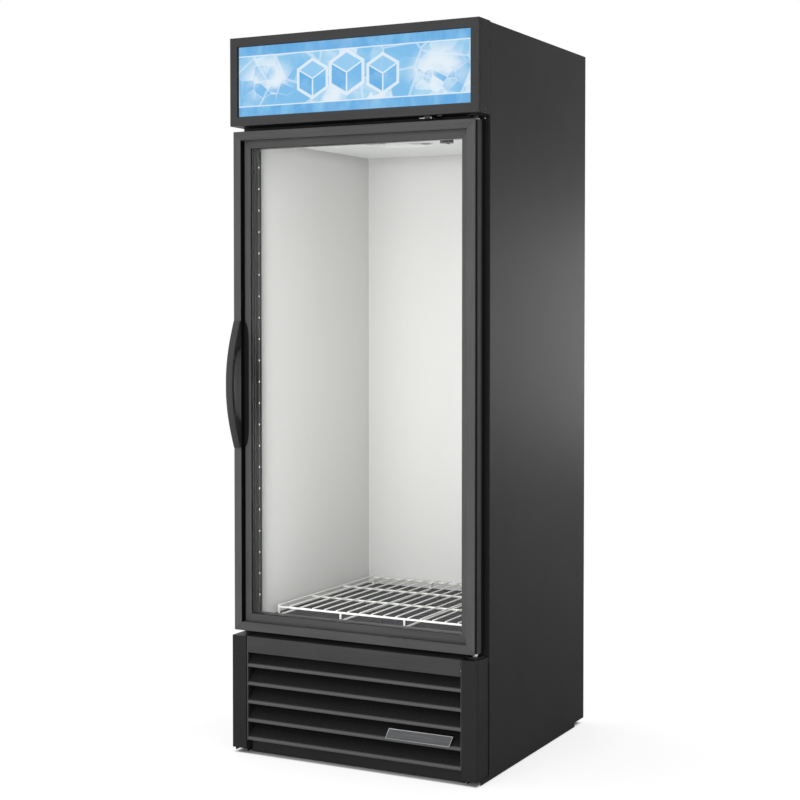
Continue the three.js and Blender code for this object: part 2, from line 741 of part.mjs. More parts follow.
// ---- Light strips on the inner edges of the stiles ----
function doorLight(side) {
  const outer = side * (doorHalf - FRAME_BAND - SEAT);
  const inner = outer - side * DOOR_LIGHT.thick;
  const from = channelBack + 2;
  const half = doorHalfHeight - FRAME_BAND - DOOR_LIGHT.margin;
  const section = outline([
    [outer, from],
    [inner, from + 1.5],
    [inner, from + DOOR_LIGHT.width - 1.5],
    [outer, from + DOOR_LIGHT.width],
  ]);
  return prism(section, "z", -half, half);
}
add(door, "door_light_left", doorLight(-1), lampWhite);
add(door, "door_light_right", doorLight(1), lampWhite);

// ---- Handle: a bow whose two feet stand on the left stile ----
function doorHandle() {
  const foot = HANDLE_FOOT - doorMiddle;
  const middle = foot + HANDLE_LENGTH / 2;
  const half = HANDLE_LENGTH / 2 - HANDLE_ROUND;
  const bow = HANDLE_BOW - HANDLE_ROUND;
  const openingHalf = HANDLE_OPENING / 2 + HANDLE_ROUND;
  const openingBow = HANDLE_BOW - HANDLE_BAR + HANDLE_ROUND;
  const face = -SEAT - HANDLE_ROUND / 2;
  const section = new THREE.Shape();
  section.moveTo(face, middle - half);
  section.lineTo(face - HANDLE_TIP, middle - half);
  section.bezierCurveTo(
    -bow * 0.55, middle - half * 0.72,
    -bow * 1.02, middle - half * 0.42,
    -bow, middle,
  );
  section.bezierCurveTo(
    -bow * 1.02, middle + half * 0.42,
    -bow * 0.55, middle + half * 0.72,
    face - HANDLE_TIP, middle + half,
  );
  section.lineTo(face, middle + half);
  section.lineTo(face, middle + openingHalf);
  section.bezierCurveTo(
    -openingBow * 0.78, middle + openingHalf * 0.82,
    -openingBow, middle + openingHalf * 0.5,
    -openingBow, middle,
  );
  section.bezierCurveTo(
    -openingBow, middle - openingHalf * 0.5,
    -openingBow * 0.78, middle - openingHalf * 0.82,
    face, middle - openingHalf,
  );
  const left = -doorHalf + HANDLE_INSET + HANDLE_ROUND;
  const geometry = prism(section, "x", left, left + HANDLE_WIDTH - 2 * HANDLE_ROUND, {
    bevelEnabled: true,
    bevelSize: HANDLE_ROUND,
    bevelThickness: HANDLE_ROUND,
    bevelSegments: 2,
    curveSegments: 10,
  });
  const beyond = block([-doorHalf - 10, -doorHalf + 60], [-SEAT, 20], [foot - 10, foot + HANDLE_LENGTH + 10]);
  return cut(geometry, [beyond]);
}
add(door, "door_handle", doorHandle(), blackPlastic);

// ---- Hinges: flanged bushes in the door, brackets with pins on the body ----
function hingeBush(side) {
  const inner = PIN_RADIUS + RUNNING;
  const bush = turned(
    [
      [inner, -BUSH_LENGTH],
      [bushRadius, -BUSH_LENGTH],
      [bushRadius, SEAT],
      [BUSH_FLANGE.radius, SEAT],
      [BUSH_FLANGE.radius, SEAT + BUSH_FLANGE.thick],
      [inner, SEAT + BUSH_FLANGE.thick],
      [inner, -BUSH_LENGTH],
    ],
    20,
  );
  if (side < 0) bush.rotateX(Math.PI);
  return bush.translate(hingeX, HINGE_DEPTH, side * doorHalfHeight);
}
add(door, "hinge_bush_top", hingeBush(1), zincSteel);
add(door, "hinge_bush_bottom", hingeBush(-1), zincSteel);

function hingeBracket(side) {
  const doorEnd = side > 0 ? doorTop : doorBottom;
  const seat = side > 0 ? signBottom - SEAT : GRILLE_TOP + SEAT;
  const arm = [seat, seat - side * BRACKET.thick].sort((a, b) => a - b);
  const leg = [seat, doorEnd + side].sort((a, b) => a - b);
  const left = hingeX - BRACKET.width * 0.6;
  const right = left + BRACKET.width;
  const armPlate = prism(
    outline([
      [left, FRONT_DEPTH - SEAT],
      [left, HINGE_DEPTH],
      [hingeX - 10, BRACKET.front],
      [hingeX + 8, BRACKET.front],
      [right, HINGE_DEPTH],
      [right, FRONT_DEPTH - SEAT],
    ]),
    "z", arm[0], arm[1],
  );
  const wallPlate = block([left, right], [FRONT_DEPTH - SEAT - BRACKET.thick, FRONT_DEPTH - SEAT], leg);
  const pin = bar([hingeX, HINGE_DEPTH, seat - side], [hingeX, HINGE_DEPTH, doorEnd - side * PIN_ENGAGEMENT],
    PIN_RADIUS, 20);
  return joined([armPlate, wallPlate, pin]);
}
add(freezer, "hinge_bracket_top", hingeBracket(1), blackPaint);
add(freezer, "hinge_bracket_bottom", hingeBracket(-1), blackPaint);

const rodBottom = -doorHalfHeight + BUSH_LENGTH + SEAT;
add(
  door,
  "closer_torsion_rod",
  bar([hingeX, HINGE_DEPTH, rodBottom], [hingeX, HINGE_DEPTH, rodBottom + TORSION_ROD.length],
    TORSION_ROD.radius, 8),
  zincSteel,
);

// ---- Corner posts ----
function cornerPost(side) {
  const section = new THREE.Shape();
  const back = FRONT_DEPTH - SEAT;
  const inner = POST_ROUND - POST_SHEET;
  section.moveTo(postHalf, back);
  section.lineTo(postHalf, POST_ROUND);
  section.absarc(postHalf - POST_ROUND, POST_ROUND, POST_ROUND, 0, -Math.PI / 2, true);
  section.lineTo(postInner, 0);
  section.lineTo(postInner, back * 0.6);
  section.lineTo(postInner + POST_SHEET, back * 0.6);
  section.lineTo(postInner + POST_SHEET, POST_SHEET);
  section.lineTo(postHalf - POST_ROUND, POST_SHEET);
  section.absarc(postHalf - POST_ROUND, POST_ROUND, inner, -Math.PI / 2, 0, false);
  section.lineTo(postHalf - POST_SHEET, back);
  const sleeve = prism(section, "z", RAIL_HEIGHT, GRILLE_TOP, { curveSegments: 4 });
  const cap = block(
    [postInner + 1, postHalf - POST_SHEET / 2],
    [POST_SHEET / 2, back],
    [GRILLE_TOP - POST_SHEET, GRILLE_TOP],
  );
  const post = joined([sleeve, cap]);
  if (side > 0) return post;
  return post.mirror([1, 0, 0]);
}
add(freezer, "corner_post_left", cornerPost(-1), blackPaint);
add(freezer, "corner_post_right", cornerPost(1), blackPaint);

// ---- Louvred grille: five slats of one bent section between two cheeks, under a top strip ----
const grilleHalf = postInner - GRILLE_CLEARANCE;
function louvreSection(lipCentre) {
  const { lip, sheet, recess, back, rise } = LOUVRE;
  const low = lipCentre - lip / 2;
  const high = lipCentre + lip / 2;
  const nose = sheet / 2;
  const section = new THREE.Shape();
  section.moveTo(recess + sheet + 5, low);
  section.lineTo(recess + nose, low);
  section.absarc(recess + nose, low + nose, nose, -Math.PI / 2, Math.PI, true);
  section.lineTo(recess, high - sheet);
  section.absarc(recess + sheet, high - sheet, sheet, Math.PI, Math.PI / 2, true);
  section.lineTo(back, lipCentre + rise);
  section.lineTo(back, lipCentre + rise - sheet * 1.4);
  section.lineTo(recess + sheet, high - sheet * 1.4);
  section.lineTo(recess + sheet, low + sheet);
  section.lineTo(recess + sheet + 5, low + sheet);
  return section;
}

function louvredGrille() {
  const lowestEdge = LOUVRE.lowest - LOUVRE.lip / 2;
  const pieces = [-1, 1].map((side) => {
    const outer = side * grilleHalf;
    const inner = outer - side * CHEEK;
    return block([outer, inner].sort((a, b) => a - b), [TOP_STRIP.recess + 1, LOUVRE.back + 4],
      [lowestEdge, GRILLE_TOP - TOP_STRIP.sheet / 2]);
  });
  const reach = grilleHalf - CHEEK / 2;
  for (let i = 0; i < LOUVRE.count; i++) {
    const section = louvreSection(LOUVRE.lowest + i * LOUVRE.pitch);
    pieces.push(prism(section, "x", -reach, reach, { curveSegments: 3 }));
  }
  const stripBottom = GRILLE_TOP - TOP_STRIP.height;
  const { recess, sheet, back } = TOP_STRIP;
  pieces.push(prism(outline([
    [recess, stripBottom],
    [recess, GRILLE_TOP],
    [recess + back, GRILLE_TOP],
    [recess + back, GRILLE_TOP - sheet],
    [recess + sheet, GRILLE_TOP - sheet],
    [recess + sheet, stripBottom + sheet],
    [recess + sheet + 8, stripBottom + sheet],
    [recess + sheet + 8, stripBottom],
  ]), "x", -grilleHalf, grilleHalf));
  return joined(pieces);
}
add(freezer, "louvred_grille", louvredGrille(), blackPaint);

// A bare slanted plate fixed to the second lip of the grille.
function badgePlate() {
  const lipCentre = LOUVRE.lowest + LOUVRE.pitch;
  const bottom = lipCentre + BADGE.above - BADGE.height / 2;
  const back = LOUVRE.recess - SEAT;
  const half = BADGE.width / 2;
  const plate = outline([
    [badgeX - half - BADGE.slant / 2, bottom],
    [badgeX + half - BADGE.slant / 2, bottom],
    [badgeX + half + BADGE.slant / 2, bottom + BADGE.height],
    [badgeX - half + BADGE.slant / 2, bottom + BADGE.height],
  ]);
  return prism(plate, "y", back - BADGE.thick, back);
}
add(freezer, "badge_plate", badgePlate(), aluminium);

function kickPlate() {
  const half = halfWidth - KICK.inset;
  const top = LOUVRE.lowest - LOUVRE.lip / 2 - SEAT;
  const { recess, sheet, lift, flange } = KICK;
  return prism(outline([
    [recess, lift],
    [recess, top],
    [recess + flange, top],
    [recess + flange, top - sheet],
    [recess + sheet, top - sheet],
    [recess + sheet, lift + sheet],
    [recess + flange, lift + sheet],
    [recess + flange, lift],
  ]), "x", -half, half);
}
add(freezer, "kick_plate", kickPlate(), blackPaint);

// ---- Base rails, levelling feet and machine floor ----
const railOuter = halfWidth - RAIL.inset;
const railMiddle = railOuter - RAIL.width / 2;
const railBack = DEPTH - RAIL.backGap;
const footPlaces = [
  ["front", RAIL.front + FOOT.fromEnd],
  ["back", railBack - FOOT.fromEnd],
];

function baseRail(side) {
  const top = RAIL_HEIGHT - SEAT;
  const inner = railOuter - RAIL.width;
  const section = outline([
    [inner, RAIL.lift],
    [inner, top],
    [railOuter, top],
    [railOuter, RAIL.lift],
    [railOuter - RAIL.sheet, RAIL.lift],
    [railOuter - RAIL.sheet, top - RAIL.sheet],
    [inner + RAIL.sheet, top - RAIL.sheet],
    [inner + RAIL.sheet, RAIL.lift],
  ].map(([x, z]) => [side * x, z]));
  const channel = prism(section, "y", RAIL.front, railBack);
  return cut(channel, footPlaces.map(([, y]) =>
    bar([side * railMiddle, y, 0], [side * railMiddle, y, RAIL_HEIGHT], FOOT.stem + SEAT, 16)));
}
add(freezer, "base_rail_left", baseRail(-1), blackPaint);
add(freezer, "base_rail_right", baseRail(1), blackPaint);

function levellingFoot(side, y) {
  const foot = turned(
    [
      [0, 0],
      [FOOT.radius - 1, 0],
      [FOOT.radius, 1],
      [FOOT.radius, FOOT.pad - 2],
      [FOOT.stem, FOOT.pad],
      [FOOT.stem, FOOT.height],
      [0, FOOT.height],
    ],
    16,
  );
  return foot.translate(side * railMiddle, y, 0);
}
for (const [side, hand] of [[-1, "left"], [1, "right"]])
  for (const [end, y] of footPlaces)
    add(freezer, `levelling_foot_${end}_${hand}`, levellingFoot(side, y), blackPlastic);

const compartmentHalf = halfWidth - STEEL - SEAT;
const compartmentFront = FRONT_DEPTH + SEAT;
function machineFloor() {
  const plate = block([-compartmentHalf, compartmentHalf], [compartmentFront, shellBack],
    [RAIL_HEIGHT, machineFloorTop]);
  const holes = [-1, 1].flatMap((side) => footPlaces.map(([, y]) =>
    bar([side * railMiddle, y, 0], [side * railMiddle, y, FOOT.height], FOOT.stem + SEAT, 16)));
  return cut(plate, holes);
}
add(freezer, "machine_floor", machineFloor(), zincSteel);

// ---- Floor rack of coated wire ----
function wireRack() {
  const half = cavityHalf - RACK.sideGap;
  const front = faceBack + RACK.frontGap;
  const back = cavityBack - RACK.backGap;
  const trayTop = cavityFloor + SEAT + LINER;
  const runnerZ = trayTop + SEAT + RACK.frame;
  const barZ = trayTop + SEAT + RACK.height - RACK.frame - RACK.deck;
  const deckZ = barZ + RACK.frame + RACK.deck * 0.4;
  const pieces = [];
  for (let i = 0; i < RACK.bearers; i++) {
    const y = front + ((back - front) * i) / (RACK.bearers - 1);
    pieces.push(bar([-half - RACK.frame, y, barZ], [half + RACK.frame, y, barZ], RACK.frame, 6));
  }
  for (let i = 0; i < RACK.runners; i++) {
    const x = -half + (2 * half * i) / (RACK.runners - 1);
    pieces.push(bar([x, front - RACK.frame, runnerZ], [x, back + RACK.frame, runnerZ], RACK.frame, 6));
    for (const y of [front, back]) pieces.push(bar([x, y, runnerZ], [x, y, barZ], RACK.frame, 6));
  }
  for (let i = 0; i < RACK.wires; i++) {
    const x = -half + (2 * half * i) / (RACK.wires - 1);
    pieces.push(bar([x, front - 1, deckZ], [x, back + 1, deckZ], RACK.deck, 4));
  }
  return joined(pieces);
}
add(freezer, "floor_rack", wireRack(), whiteWire);

// ---- Finned coil: a comb of fins on one core, with tube bends on both ends ----
function finnedCoil({ width, depth, height, fins, bends }) {
  const pitch = width / fins;
  const finWidth = pitch * 0.35;
  const core = depth * 0.16;
  const upper = [];
  const lower = [];
  for (let i = 0; i < fins; i++) {
    const x0 = -width / 2 + i * pitch + (pitch - finWidth) / 2;
    const x1 = x0 + finWidth;
    upper.push([x0, core], [x0, depth / 2], [x1, depth / 2], [x1, core]);
    lower.push([x0, -core], [x0, -depth / 2], [x1, -depth / 2], [x1, -core]);
  }
  const comb = prism(outline([...lower, ...upper.reverse()]), "z", 0, height);
  const pieces = [comb];
  const tube = Math.min(depth, height / bends) * 0.1;
  const bendRadius = height / bends / 4;
  for (const side of [-1, 1]) {
    const wall = side * (width / 2 - pitch);
    for (let i = 0; i < bends; i++) {
      const z = (height * (i + 0.5)) / bends;
      const end = side * (width / 2);
      const curve = new THREE.CatmullRomCurve3([
        new THREE.Vector3(wall, 0, z - bendRadius),
        new THREE.Vector3(end + side * bendRadius * 0.2, 0, z - bendRadius),
        new THREE.Vector3(end + side * bendRadius, 0, z),
        new THREE.Vector3(end + side * bendRadius * 0.2, 0, z + bendRadius),
        new THREE.Vector3(wall, 0, z + bendRadius),
      ]);
      const round = new THREE.Shape().absarc(0, 0, tube, 0, Math.PI * 2);
      pieces.push(new THREE.ExtrudeGeometry(round, { extrudePath: curve, steps: 5, curveSegments: 3 }));
    }
  }
  return joined(pieces);
}

// ---- Fan blade: pitched petals round a hub, turning about +Z ----
function fanBlade({ blade, hub, hubDepth, blades, chord, pitch }) {
  const petal = new THREE.Shape();
  petal.moveTo(hub * 0.6, -chord * 0.25);
  petal.bezierCurveTo(blade * 0.5, -chord * 0.6, blade * 0.9, -chord * 0.6, blade, -chord * 0.2);
  petal.quadraticCurveTo(blade * 1.02, chord * 0.2, blade * 0.92, chord * 0.5);
  petal.bezierCurveTo(blade * 0.7, chord * 0.5, blade * 0.5, chord * 0.35, hub * 0.6, chord * 0.25);
  const leafOptions = { depth: BLADE_THICK, bevelEnabled: false, curveSegments: 4 };
  const pieces = [bar([0, 0, -hubDepth / 2], [0, 0, hubDepth / 2], hub, 20)];
  for (let i = 0; i < blades; i++) {
    const leaf = new THREE.ExtrudeGeometry(petal, leafOptions).translate(0, 0, -BLADE_THICK / 2);
    pieces.push(leaf.rotateX((pitch * Math.PI) / 180).rotateZ((i * 2 * Math.PI) / blades));
  }
  const bore = bar([0, 0, -hubDepth], [0, 0, hubDepth * SHAFT_REACH], MOTOR.shaft + RUNNING, 12);
  return cut(joined(pieces), [bore]);
}

// ---- Fan motor: a round can with a shaft up +Z, and arms whose legs stand on the sheet round
// its opening. legEnd is the height of that sheet above the middle of the hub.
function fanMotor({ radius: opening, hubDepth, arms, armReach }, legEnd) {
  const top = -hubDepth / 2 - RUNNING * 4;
  const shaftTop = hubDepth * SHAFT_REACH - RUNNING * 2;
  const can = turned(
    [
      [0, top - MOTOR.length],
      [MOTOR.radius * 0.7, top - MOTOR.length],
      [MOTOR.radius, top - MOTOR.length * 0.88],
      [MOTOR.radius, top - MOTOR.length * 0.15],
      [MOTOR.radius * 0.45, top],
      [MOTOR.shaft, top],
      [MOTOR.shaft, shaftTop],
      [0, shaftTop],
    ],
    20,
  );
  const rim = opening + armReach;
  const middle = top - MOTOR.length / 2;
  const armHalf = MOTOR.armThick / 2;
  const across = [-MOTOR.arm / 2, MOTOR.arm / 2];
  const pieces = [can];
  for (let i = 0; i < arms; i++) {
    const turn = Math.PI / 4 + (i * 2 * Math.PI) / arms;
    const arm = block([MOTOR.radius * 0.8, rim], across, [middle - armHalf, middle + armHalf]);
    const leg = block([rim - MOTOR.leg, rim], across, [middle - armHalf / 2, legEnd]);
    pieces.push(arm.rotateZ(turn), leg.rotateZ(turn));
  }
  return joined(pieces);
}

// ---- Evaporator, hung from the ceiling of the cavity behind the header ----
const evaporator = new THREE.Group();
const evaporatorFront = linerFront + HEADER_WALL + EVAPORATOR.front;
const evaporatorBack = cavityBack - EVAPORATOR.backGap;
const evaporatorHalf = cavityHalf - EVAPORATOR.sideGap;
const evaporatorBottom = doorwayTop + EVAPORATOR.aboveDoorway;
const evaporatorTop = cavityCeiling - SEAT;
evaporator.position.z = evaporatorBottom;
freezer.add(evaporator);
const coverHeight = evaporatorTop - evaporatorBottom;
const fanY = evaporatorFront + EVAPORATOR_FAN.y;
const dialX = evaporatorHalf - DIAL.fromEdge;
const dialY = evaporatorFront + DIAL.y;

// A wire guard welded to the cover round the fan opening.
function fanGuard() {
  const pieces = [];
  const half = GUARD.wire / 2;
  const outer = EVAPORATOR_FAN.radius + 6;
  for (let i = 0; i < GUARD.rings; i++) {
    const radius = (outer * (i + 1)) / GUARD.rings - half;
    pieces.push(turned([
      [radius - half, -half],
      [radius + half, -half],
      [radius + half, half],
      [radius - half, half],
      [radius - half, -half],
    ], 20));
  }
  for (let i = 0; i < GUARD.spokes / 2; i++) {
    const spoke = block([-outer + half, outer - half], [-half, half], [-half, half]);
    pieces.push(spoke.rotateZ((i * 2 * Math.PI) / GUARD.spokes));
  }
  return joined(pieces).translate(0, fanY, half - 1);
}

function evaporatorCover() {
  const { nose, sheet } = EVAPORATOR;
  const side = [
    [evaporatorFront, nose],
    [evaporatorFront + nose, 0],
    [evaporatorBack, 0],
    [evaporatorBack, coverHeight],
    [evaporatorFront, coverHeight],
  ];
  const inner = [
    [evaporatorFront + sheet, nose + sheet * 0.4],
    [evaporatorFront + nose + sheet * 0.4, sheet],
    [evaporatorBack + 1, sheet],
    [evaporatorBack + 1, coverHeight + 1],
    [evaporatorFront + sheet, coverHeight + 1],
  ];
  const shell = prism(outline(side), "x", -evaporatorHalf, evaporatorHalf);
  const room = prism(outline(inner), "x", -evaporatorHalf + sheet, evaporatorHalf - sheet);
  const fanHole = bar([0, fanY, -1], [0, fanY, sheet + 1], EVAPORATOR_FAN.radius, 28);
  const dialHole = bar([dialX, dialY, -1], [dialX, dialY, sheet + 1], DIAL.shaft + RUNNING, 10);
  return joined([cut(shell, [room, fanHole, dialHole]), fanGuard()]);
}
add(evaporator, "evaporator_cover", evaporatorCover(), whiteLiner);

const fanSpot = new THREE.Group();
fanSpot.position.set(0, fanY, EVAPORATOR_FAN.lift);
fanSpot.rotation.x = Math.PI;
evaporator.add(fanSpot);
add(fanSpot, "evaporator_fan_blade", fanBlade(EVAPORATOR_FAN), fanPlastic);
const coverInside = EVAPORATOR_FAN.lift - EVAPORATOR.sheet - SEAT;
add(fanSpot, "evaporator_fan_motor", fanMotor(EVAPORATOR_FAN, coverInside), zincSteel);

const coilY = evaporatorBack - EVAPORATOR_COIL.fromBack - EVAPORATOR_COIL.depth / 2;
const dripTrayBottom = EVAPORATOR.sheet + SEAT;
function dripTray() {
  const { sheet, depth, overlap } = DRIP_TRAY;
  const half = EVAPORATOR_COIL.width / 2 + 3 * overlap;
  const deep = EVAPORATOR_COIL.depth / 2 + overlap;
  const body = block(
    [-half, half],
    [coilY - deep, coilY + deep],
    [dripTrayBottom, dripTrayBottom + depth],
  );
  const hollow = block(
    [-half + sheet, half - sheet],
    [coilY - deep + sheet, coilY + deep - sheet],
    [dripTrayBottom + sheet, dripTrayBottom + depth + 1],
  );
  return cut(body, [hollow]);
}
add(evaporator, "evaporator_drip_tray", dripTray(), aluminium);
const coilMesh = add(evaporator, "evaporator_coil", finnedCoil(EVAPORATOR_COIL), aluminium);
coilMesh.position.set(0, coilY, dripTrayBottom + DRIP_TRAY.sheet + SEAT);

// ---- Temperature dial under the cover, with its shaft through the sheet ----
function temperatureDial() {
  const points = [];
  for (let i = 0; i < DIAL.flutes * 4; i++) {
    const angle = (i * 2 * Math.PI) / (DIAL.flutes * 4);
    const radius = DIAL.radius * (i % 4 < 2 ? 1 : 0.93);
    points.push([radius * Math.cos(angle), radius * Math.sin(angle)]);
  }
  const grip = prism(outline(points), "z", -DIAL.height, -RUNNING - SEAT);
  const pointer = block(
    [-DIAL.radius * 0.08, DIAL.radius * 0.08],
    [DIAL.radius * 0.2, DIAL.radius * 0.9],
    [-DIAL.height - 2, -DIAL.height + 1],
  );
  const shaft = bar([0, 0, -DIAL.height + 2], [0, 0, 12], DIAL.shaft, 10);
  return joined([grip, pointer, shaft]).translate(dialX, dialY, 0);
}
add(evaporator, "temperature_dial", temperatureDial(), blackPlastic);

// ---- Condensing unit on the machine floor ----
const unit = new THREE.Group();
unit.position.set(0, compartmentFront, machineFloorTop + SEAT);
freezer.add(unit);

const condenserMiddleY = CONDENSER.y + CONDENSER.depth / 2;
const condenserMesh = add(unit, "condenser_coil", finnedCoil(CONDENSER), aluminium);
condenserMesh.position.set(condenserX, condenserMiddleY, 0);

const shroudFront = CONDENSER.y + CONDENSER.depth + SEAT;
const fanMiddleZ = CONDENSER.height / 2;
function fanShroud() {
  const half = CONDENSER.width / 2;
  const shell = block([-half, half], [shroudFront, shroudFront + SHROUD.depth], [0, CONDENSER.height]);
  const room = block(
    [-half + SHROUD.sheet, half - SHROUD.sheet],
    [shroudFront - 1, shroudFront + SHROUD.depth - SHROUD.sheet],
    [SHROUD.sheet, CONDENSER.height - SHROUD.sheet],
  );
  const hole = bar([0, shroudFront, fanMiddleZ], [0, shroudFront + SHROUD.depth + 1, fanMiddleZ],
    CONDENSER_FAN.radius, 32);
  return cut(shell, [room, hole]).translate(condenserX, 0, 0);
}
add(unit, "fan_shroud", fanShroud(), zincSteel);

const condenserFanSpot = new THREE.Group();
condenserFanSpot.position.set(condenserX, shroudFront + SHROUD.depth - SHROUD.lap, fanMiddleZ);
condenserFanSpot.rotation.x = Math.PI / 2;
unit.add(condenserFanSpot);
add(condenserFanSpot, "condenser_fan_blade", fanBlade(CONDENSER_FAN), fanPlastic);
add(condenserFanSpot, "condenser_fan_motor", fanMotor(CONDENSER_FAN, -SHROUD.lap - SEAT), zincSteel);

function compressor() {
  const { radius, height, feet, foot } = COMPRESSOR;
  const base = foot + 10;
  const can = new THREE.Path();
  can.moveTo(0, base);
  can.lineTo(radius * 0.7, base);
  can.quadraticCurveTo(radius * CAN_WAIST, base, radius * CAN_WAIST, base + radius * 0.3);
  can.lineTo(radius * CAN_WAIST, base + height * 0.42);
  can.lineTo(radius, base + height * 0.42);
  can.lineTo(radius, base + height * 0.47);
  can.lineTo(radius * CAN_WAIST, base + height * 0.47);
  can.lineTo(radius * CAN_WAIST, height * 0.75);
  can.quadraticCurveTo(radius * 0.94, height, 0, height);
  const shell = turned(can.getPoints(4).map((point) => [point.x, point.y]), 24);
  const plate = block([-radius * 1.1, radius * 1.1], [-radius * 0.8, radius * 0.8], [foot, base + 3]);
  const pieces = [shell, plate];
  for (const x of [-1, 1])
    for (const y of [-1, 1])
      pieces.push(bar([x * (radius * 1.1 - feet / 2), y * (radius * 0.8 - feet / 2), 0],
        [x * (radius * 1.1 - feet / 2), y * (radius * 0.8 - feet / 2), base], feet / 2, 12));
  return joined(pieces).translate(compressorX, COMPRESSOR.y, 0);
}
add(unit, "compressor", compressor(), compressorPaint);

function condensatePan() {
  const { y, width, depth, height, sheet } = PAN;
  const left = panX - width / 2;
  const right = panX + width / 2;
  const body = block([left, right], [y, y + depth], [0, height]);
  const hollow = block([left + sheet, right - sheet], [y + sheet, y + depth - sheet], [sheet, height + 1]);
  return cut(body, [hollow]);
}
add(unit, "condensate_pan", condensatePan(), aluminium);
add(
  unit,
  "control_box",
  block(
    [controlBoxX - CONTROL_BOX.width / 2, controlBoxX + CONTROL_BOX.width / 2],
    [CONTROL_BOX.y, CONTROL_BOX.y + CONTROL_BOX.depth],
    [0, CONTROL_BOX.height],
  ),
  zincSteel,
);

function suctionPipe() {
  const { stub, offset, sweep, lead } = PIPE;
  const { radius, y, height } = COMPRESSOR;
  const roomTop = compartmentTop - machineFloorTop - 2 * SEAT;
  const run = compressorX - radius - offset;
  const points = [
    [compressorX - radius * CAN_WAIST - SEAT, y, height * 0.6],
    [compressorX - radius - stub, y, height * 0.6],
    [run, y + sweep * 0.22, height * 0.75],
    [run, y + sweep * 0.67, height],
    [run, y + sweep, roomTop - lead],
    [run, y + sweep, roomTop],
  ];
  const corners = points.map((point) => new THREE.Vector3(...point));
  const curve = new THREE.CatmullRomCurve3(corners, false, "catmullrom", 0.3);
  const round = new THREE.Shape().absarc(0, 0, PIPE.radius, 0, Math.PI * 2);
  return new THREE.ExtrudeGeometry(round, {
    extrudePath: curve,
    steps: PIPE.steps,
    curveSegments: PIPE.sides / 2,
  });
}
add(unit, "suction_pipe", suctionPipe(), copper);

export default freezer;
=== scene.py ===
"""Looks of a one-door ice merchandiser freezer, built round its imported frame."""

import json
import math

import bmesh
import bpy
from mathutils import Matrix, Vector


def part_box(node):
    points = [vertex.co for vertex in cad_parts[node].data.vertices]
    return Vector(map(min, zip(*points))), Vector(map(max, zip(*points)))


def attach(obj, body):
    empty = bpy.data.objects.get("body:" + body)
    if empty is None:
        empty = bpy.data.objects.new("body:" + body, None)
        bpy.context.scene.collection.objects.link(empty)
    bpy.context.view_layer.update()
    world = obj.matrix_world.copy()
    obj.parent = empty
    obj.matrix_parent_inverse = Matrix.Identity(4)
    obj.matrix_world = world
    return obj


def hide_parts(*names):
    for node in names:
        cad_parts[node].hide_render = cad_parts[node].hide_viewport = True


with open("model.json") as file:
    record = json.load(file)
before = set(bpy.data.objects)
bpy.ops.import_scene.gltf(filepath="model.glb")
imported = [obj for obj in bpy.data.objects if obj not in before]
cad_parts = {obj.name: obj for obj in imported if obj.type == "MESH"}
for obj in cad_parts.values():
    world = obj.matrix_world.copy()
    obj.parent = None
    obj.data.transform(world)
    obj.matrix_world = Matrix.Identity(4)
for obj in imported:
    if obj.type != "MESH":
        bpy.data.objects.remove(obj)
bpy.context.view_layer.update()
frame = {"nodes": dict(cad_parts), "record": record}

MM = 0.001
HALF_WIDTH = 0.381
FRONT_PLANE = -0.35525  # y of the front of the sign, the door and the base
RECORD = frame["record"]
BODY_OF = {
    node: body
    for body, nodes in RECORD["behaviour"]["bodies"].items()
    for node in nodes
}

ORIGIN = (0.0, 0.0, 0.0)
UP = (0.0, 0.0, 1.0)
DOWN = (0.0, 0.0, -1.0)
FORWARD = (0.0, -1.0, 0.0)
BACKWARD = (0.0, 1.0, 0.0)
LEFT = (-1.0, 0.0, 0.0)
RIGHT = (1.0, 0.0, 0.0)

# ---- Flush screws: place, facing and radius of each, by the sheet that it holds ----
DIMPLE_DEPTH = 0.26  # in screw radii
SCREW_COLUMNS = (-0.366, 0.366)
SIDES = ((-HALF_WIDTH, LEFT), (HALF_WIDTH, RIGHT))


def back_screws(heights, row=()):
    """Two columns of screws down the back, and a row across it."""
    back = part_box("back_panel")[1].y
    places = [(x, z) for x in SCREW_COLUMNS for z in heights] + list(row)
    return [((x, back, z), BACKWARD, 3.1 * MM) for x, z in places]


FLUSH_SCREWS = {
    "cabinet_wrap": [
        ((x, FRONT_PLANE + y, 0.022), facing, 3.0 * MM)
        for x, facing in SIDES
        for y in (0.080, 0.230)
    ],
    "sign_housing": [
        ((x, FRONT_PLANE + 0.042, z), facing, 2.8 * MM)
        for x, facing in SIDES
        for z in (1.768, 1.979)
    ],
    "back_panel": back_screws(
        [0.36 + 0.2 * k for k in range(8)], [(0.183 * k, 1.975) for k in range(-2, 3)]
    ),
    "rear_vent_cover": back_screws((0.05, 0.17, 0.29)),
}


# ---- Node trees ----
def operator(operation, reflected=False):
    """An operator of Value, which adds a Math node."""

    def work(self, other):
        pair = (other, self) if reflected else (self, other)
        return self.tree.math(operation, *pair)

    return work


class Value:
    """A socket. Arithmetic on it adds Math nodes to its tree."""

    def __init__(self, tree, socket):
        self.tree = tree
        self.socket = socket

    def __abs__(self):
        return self.tree.math("ABSOLUTE", self)

    __add__ = __radd__ = operator("ADD")
    __sub__ = operator("SUBTRACT")
    __rsub__ = operator("SUBTRACT", reflected=True)
    __mul__ = __rmul__ = operator("MULTIPLY")
    __truediv__ = operator("DIVIDE")
    __pow__ = operator("POWER")
    __gt__ = operator("GREATER_THAN")
    __lt__ = operator("LESS_THAN")


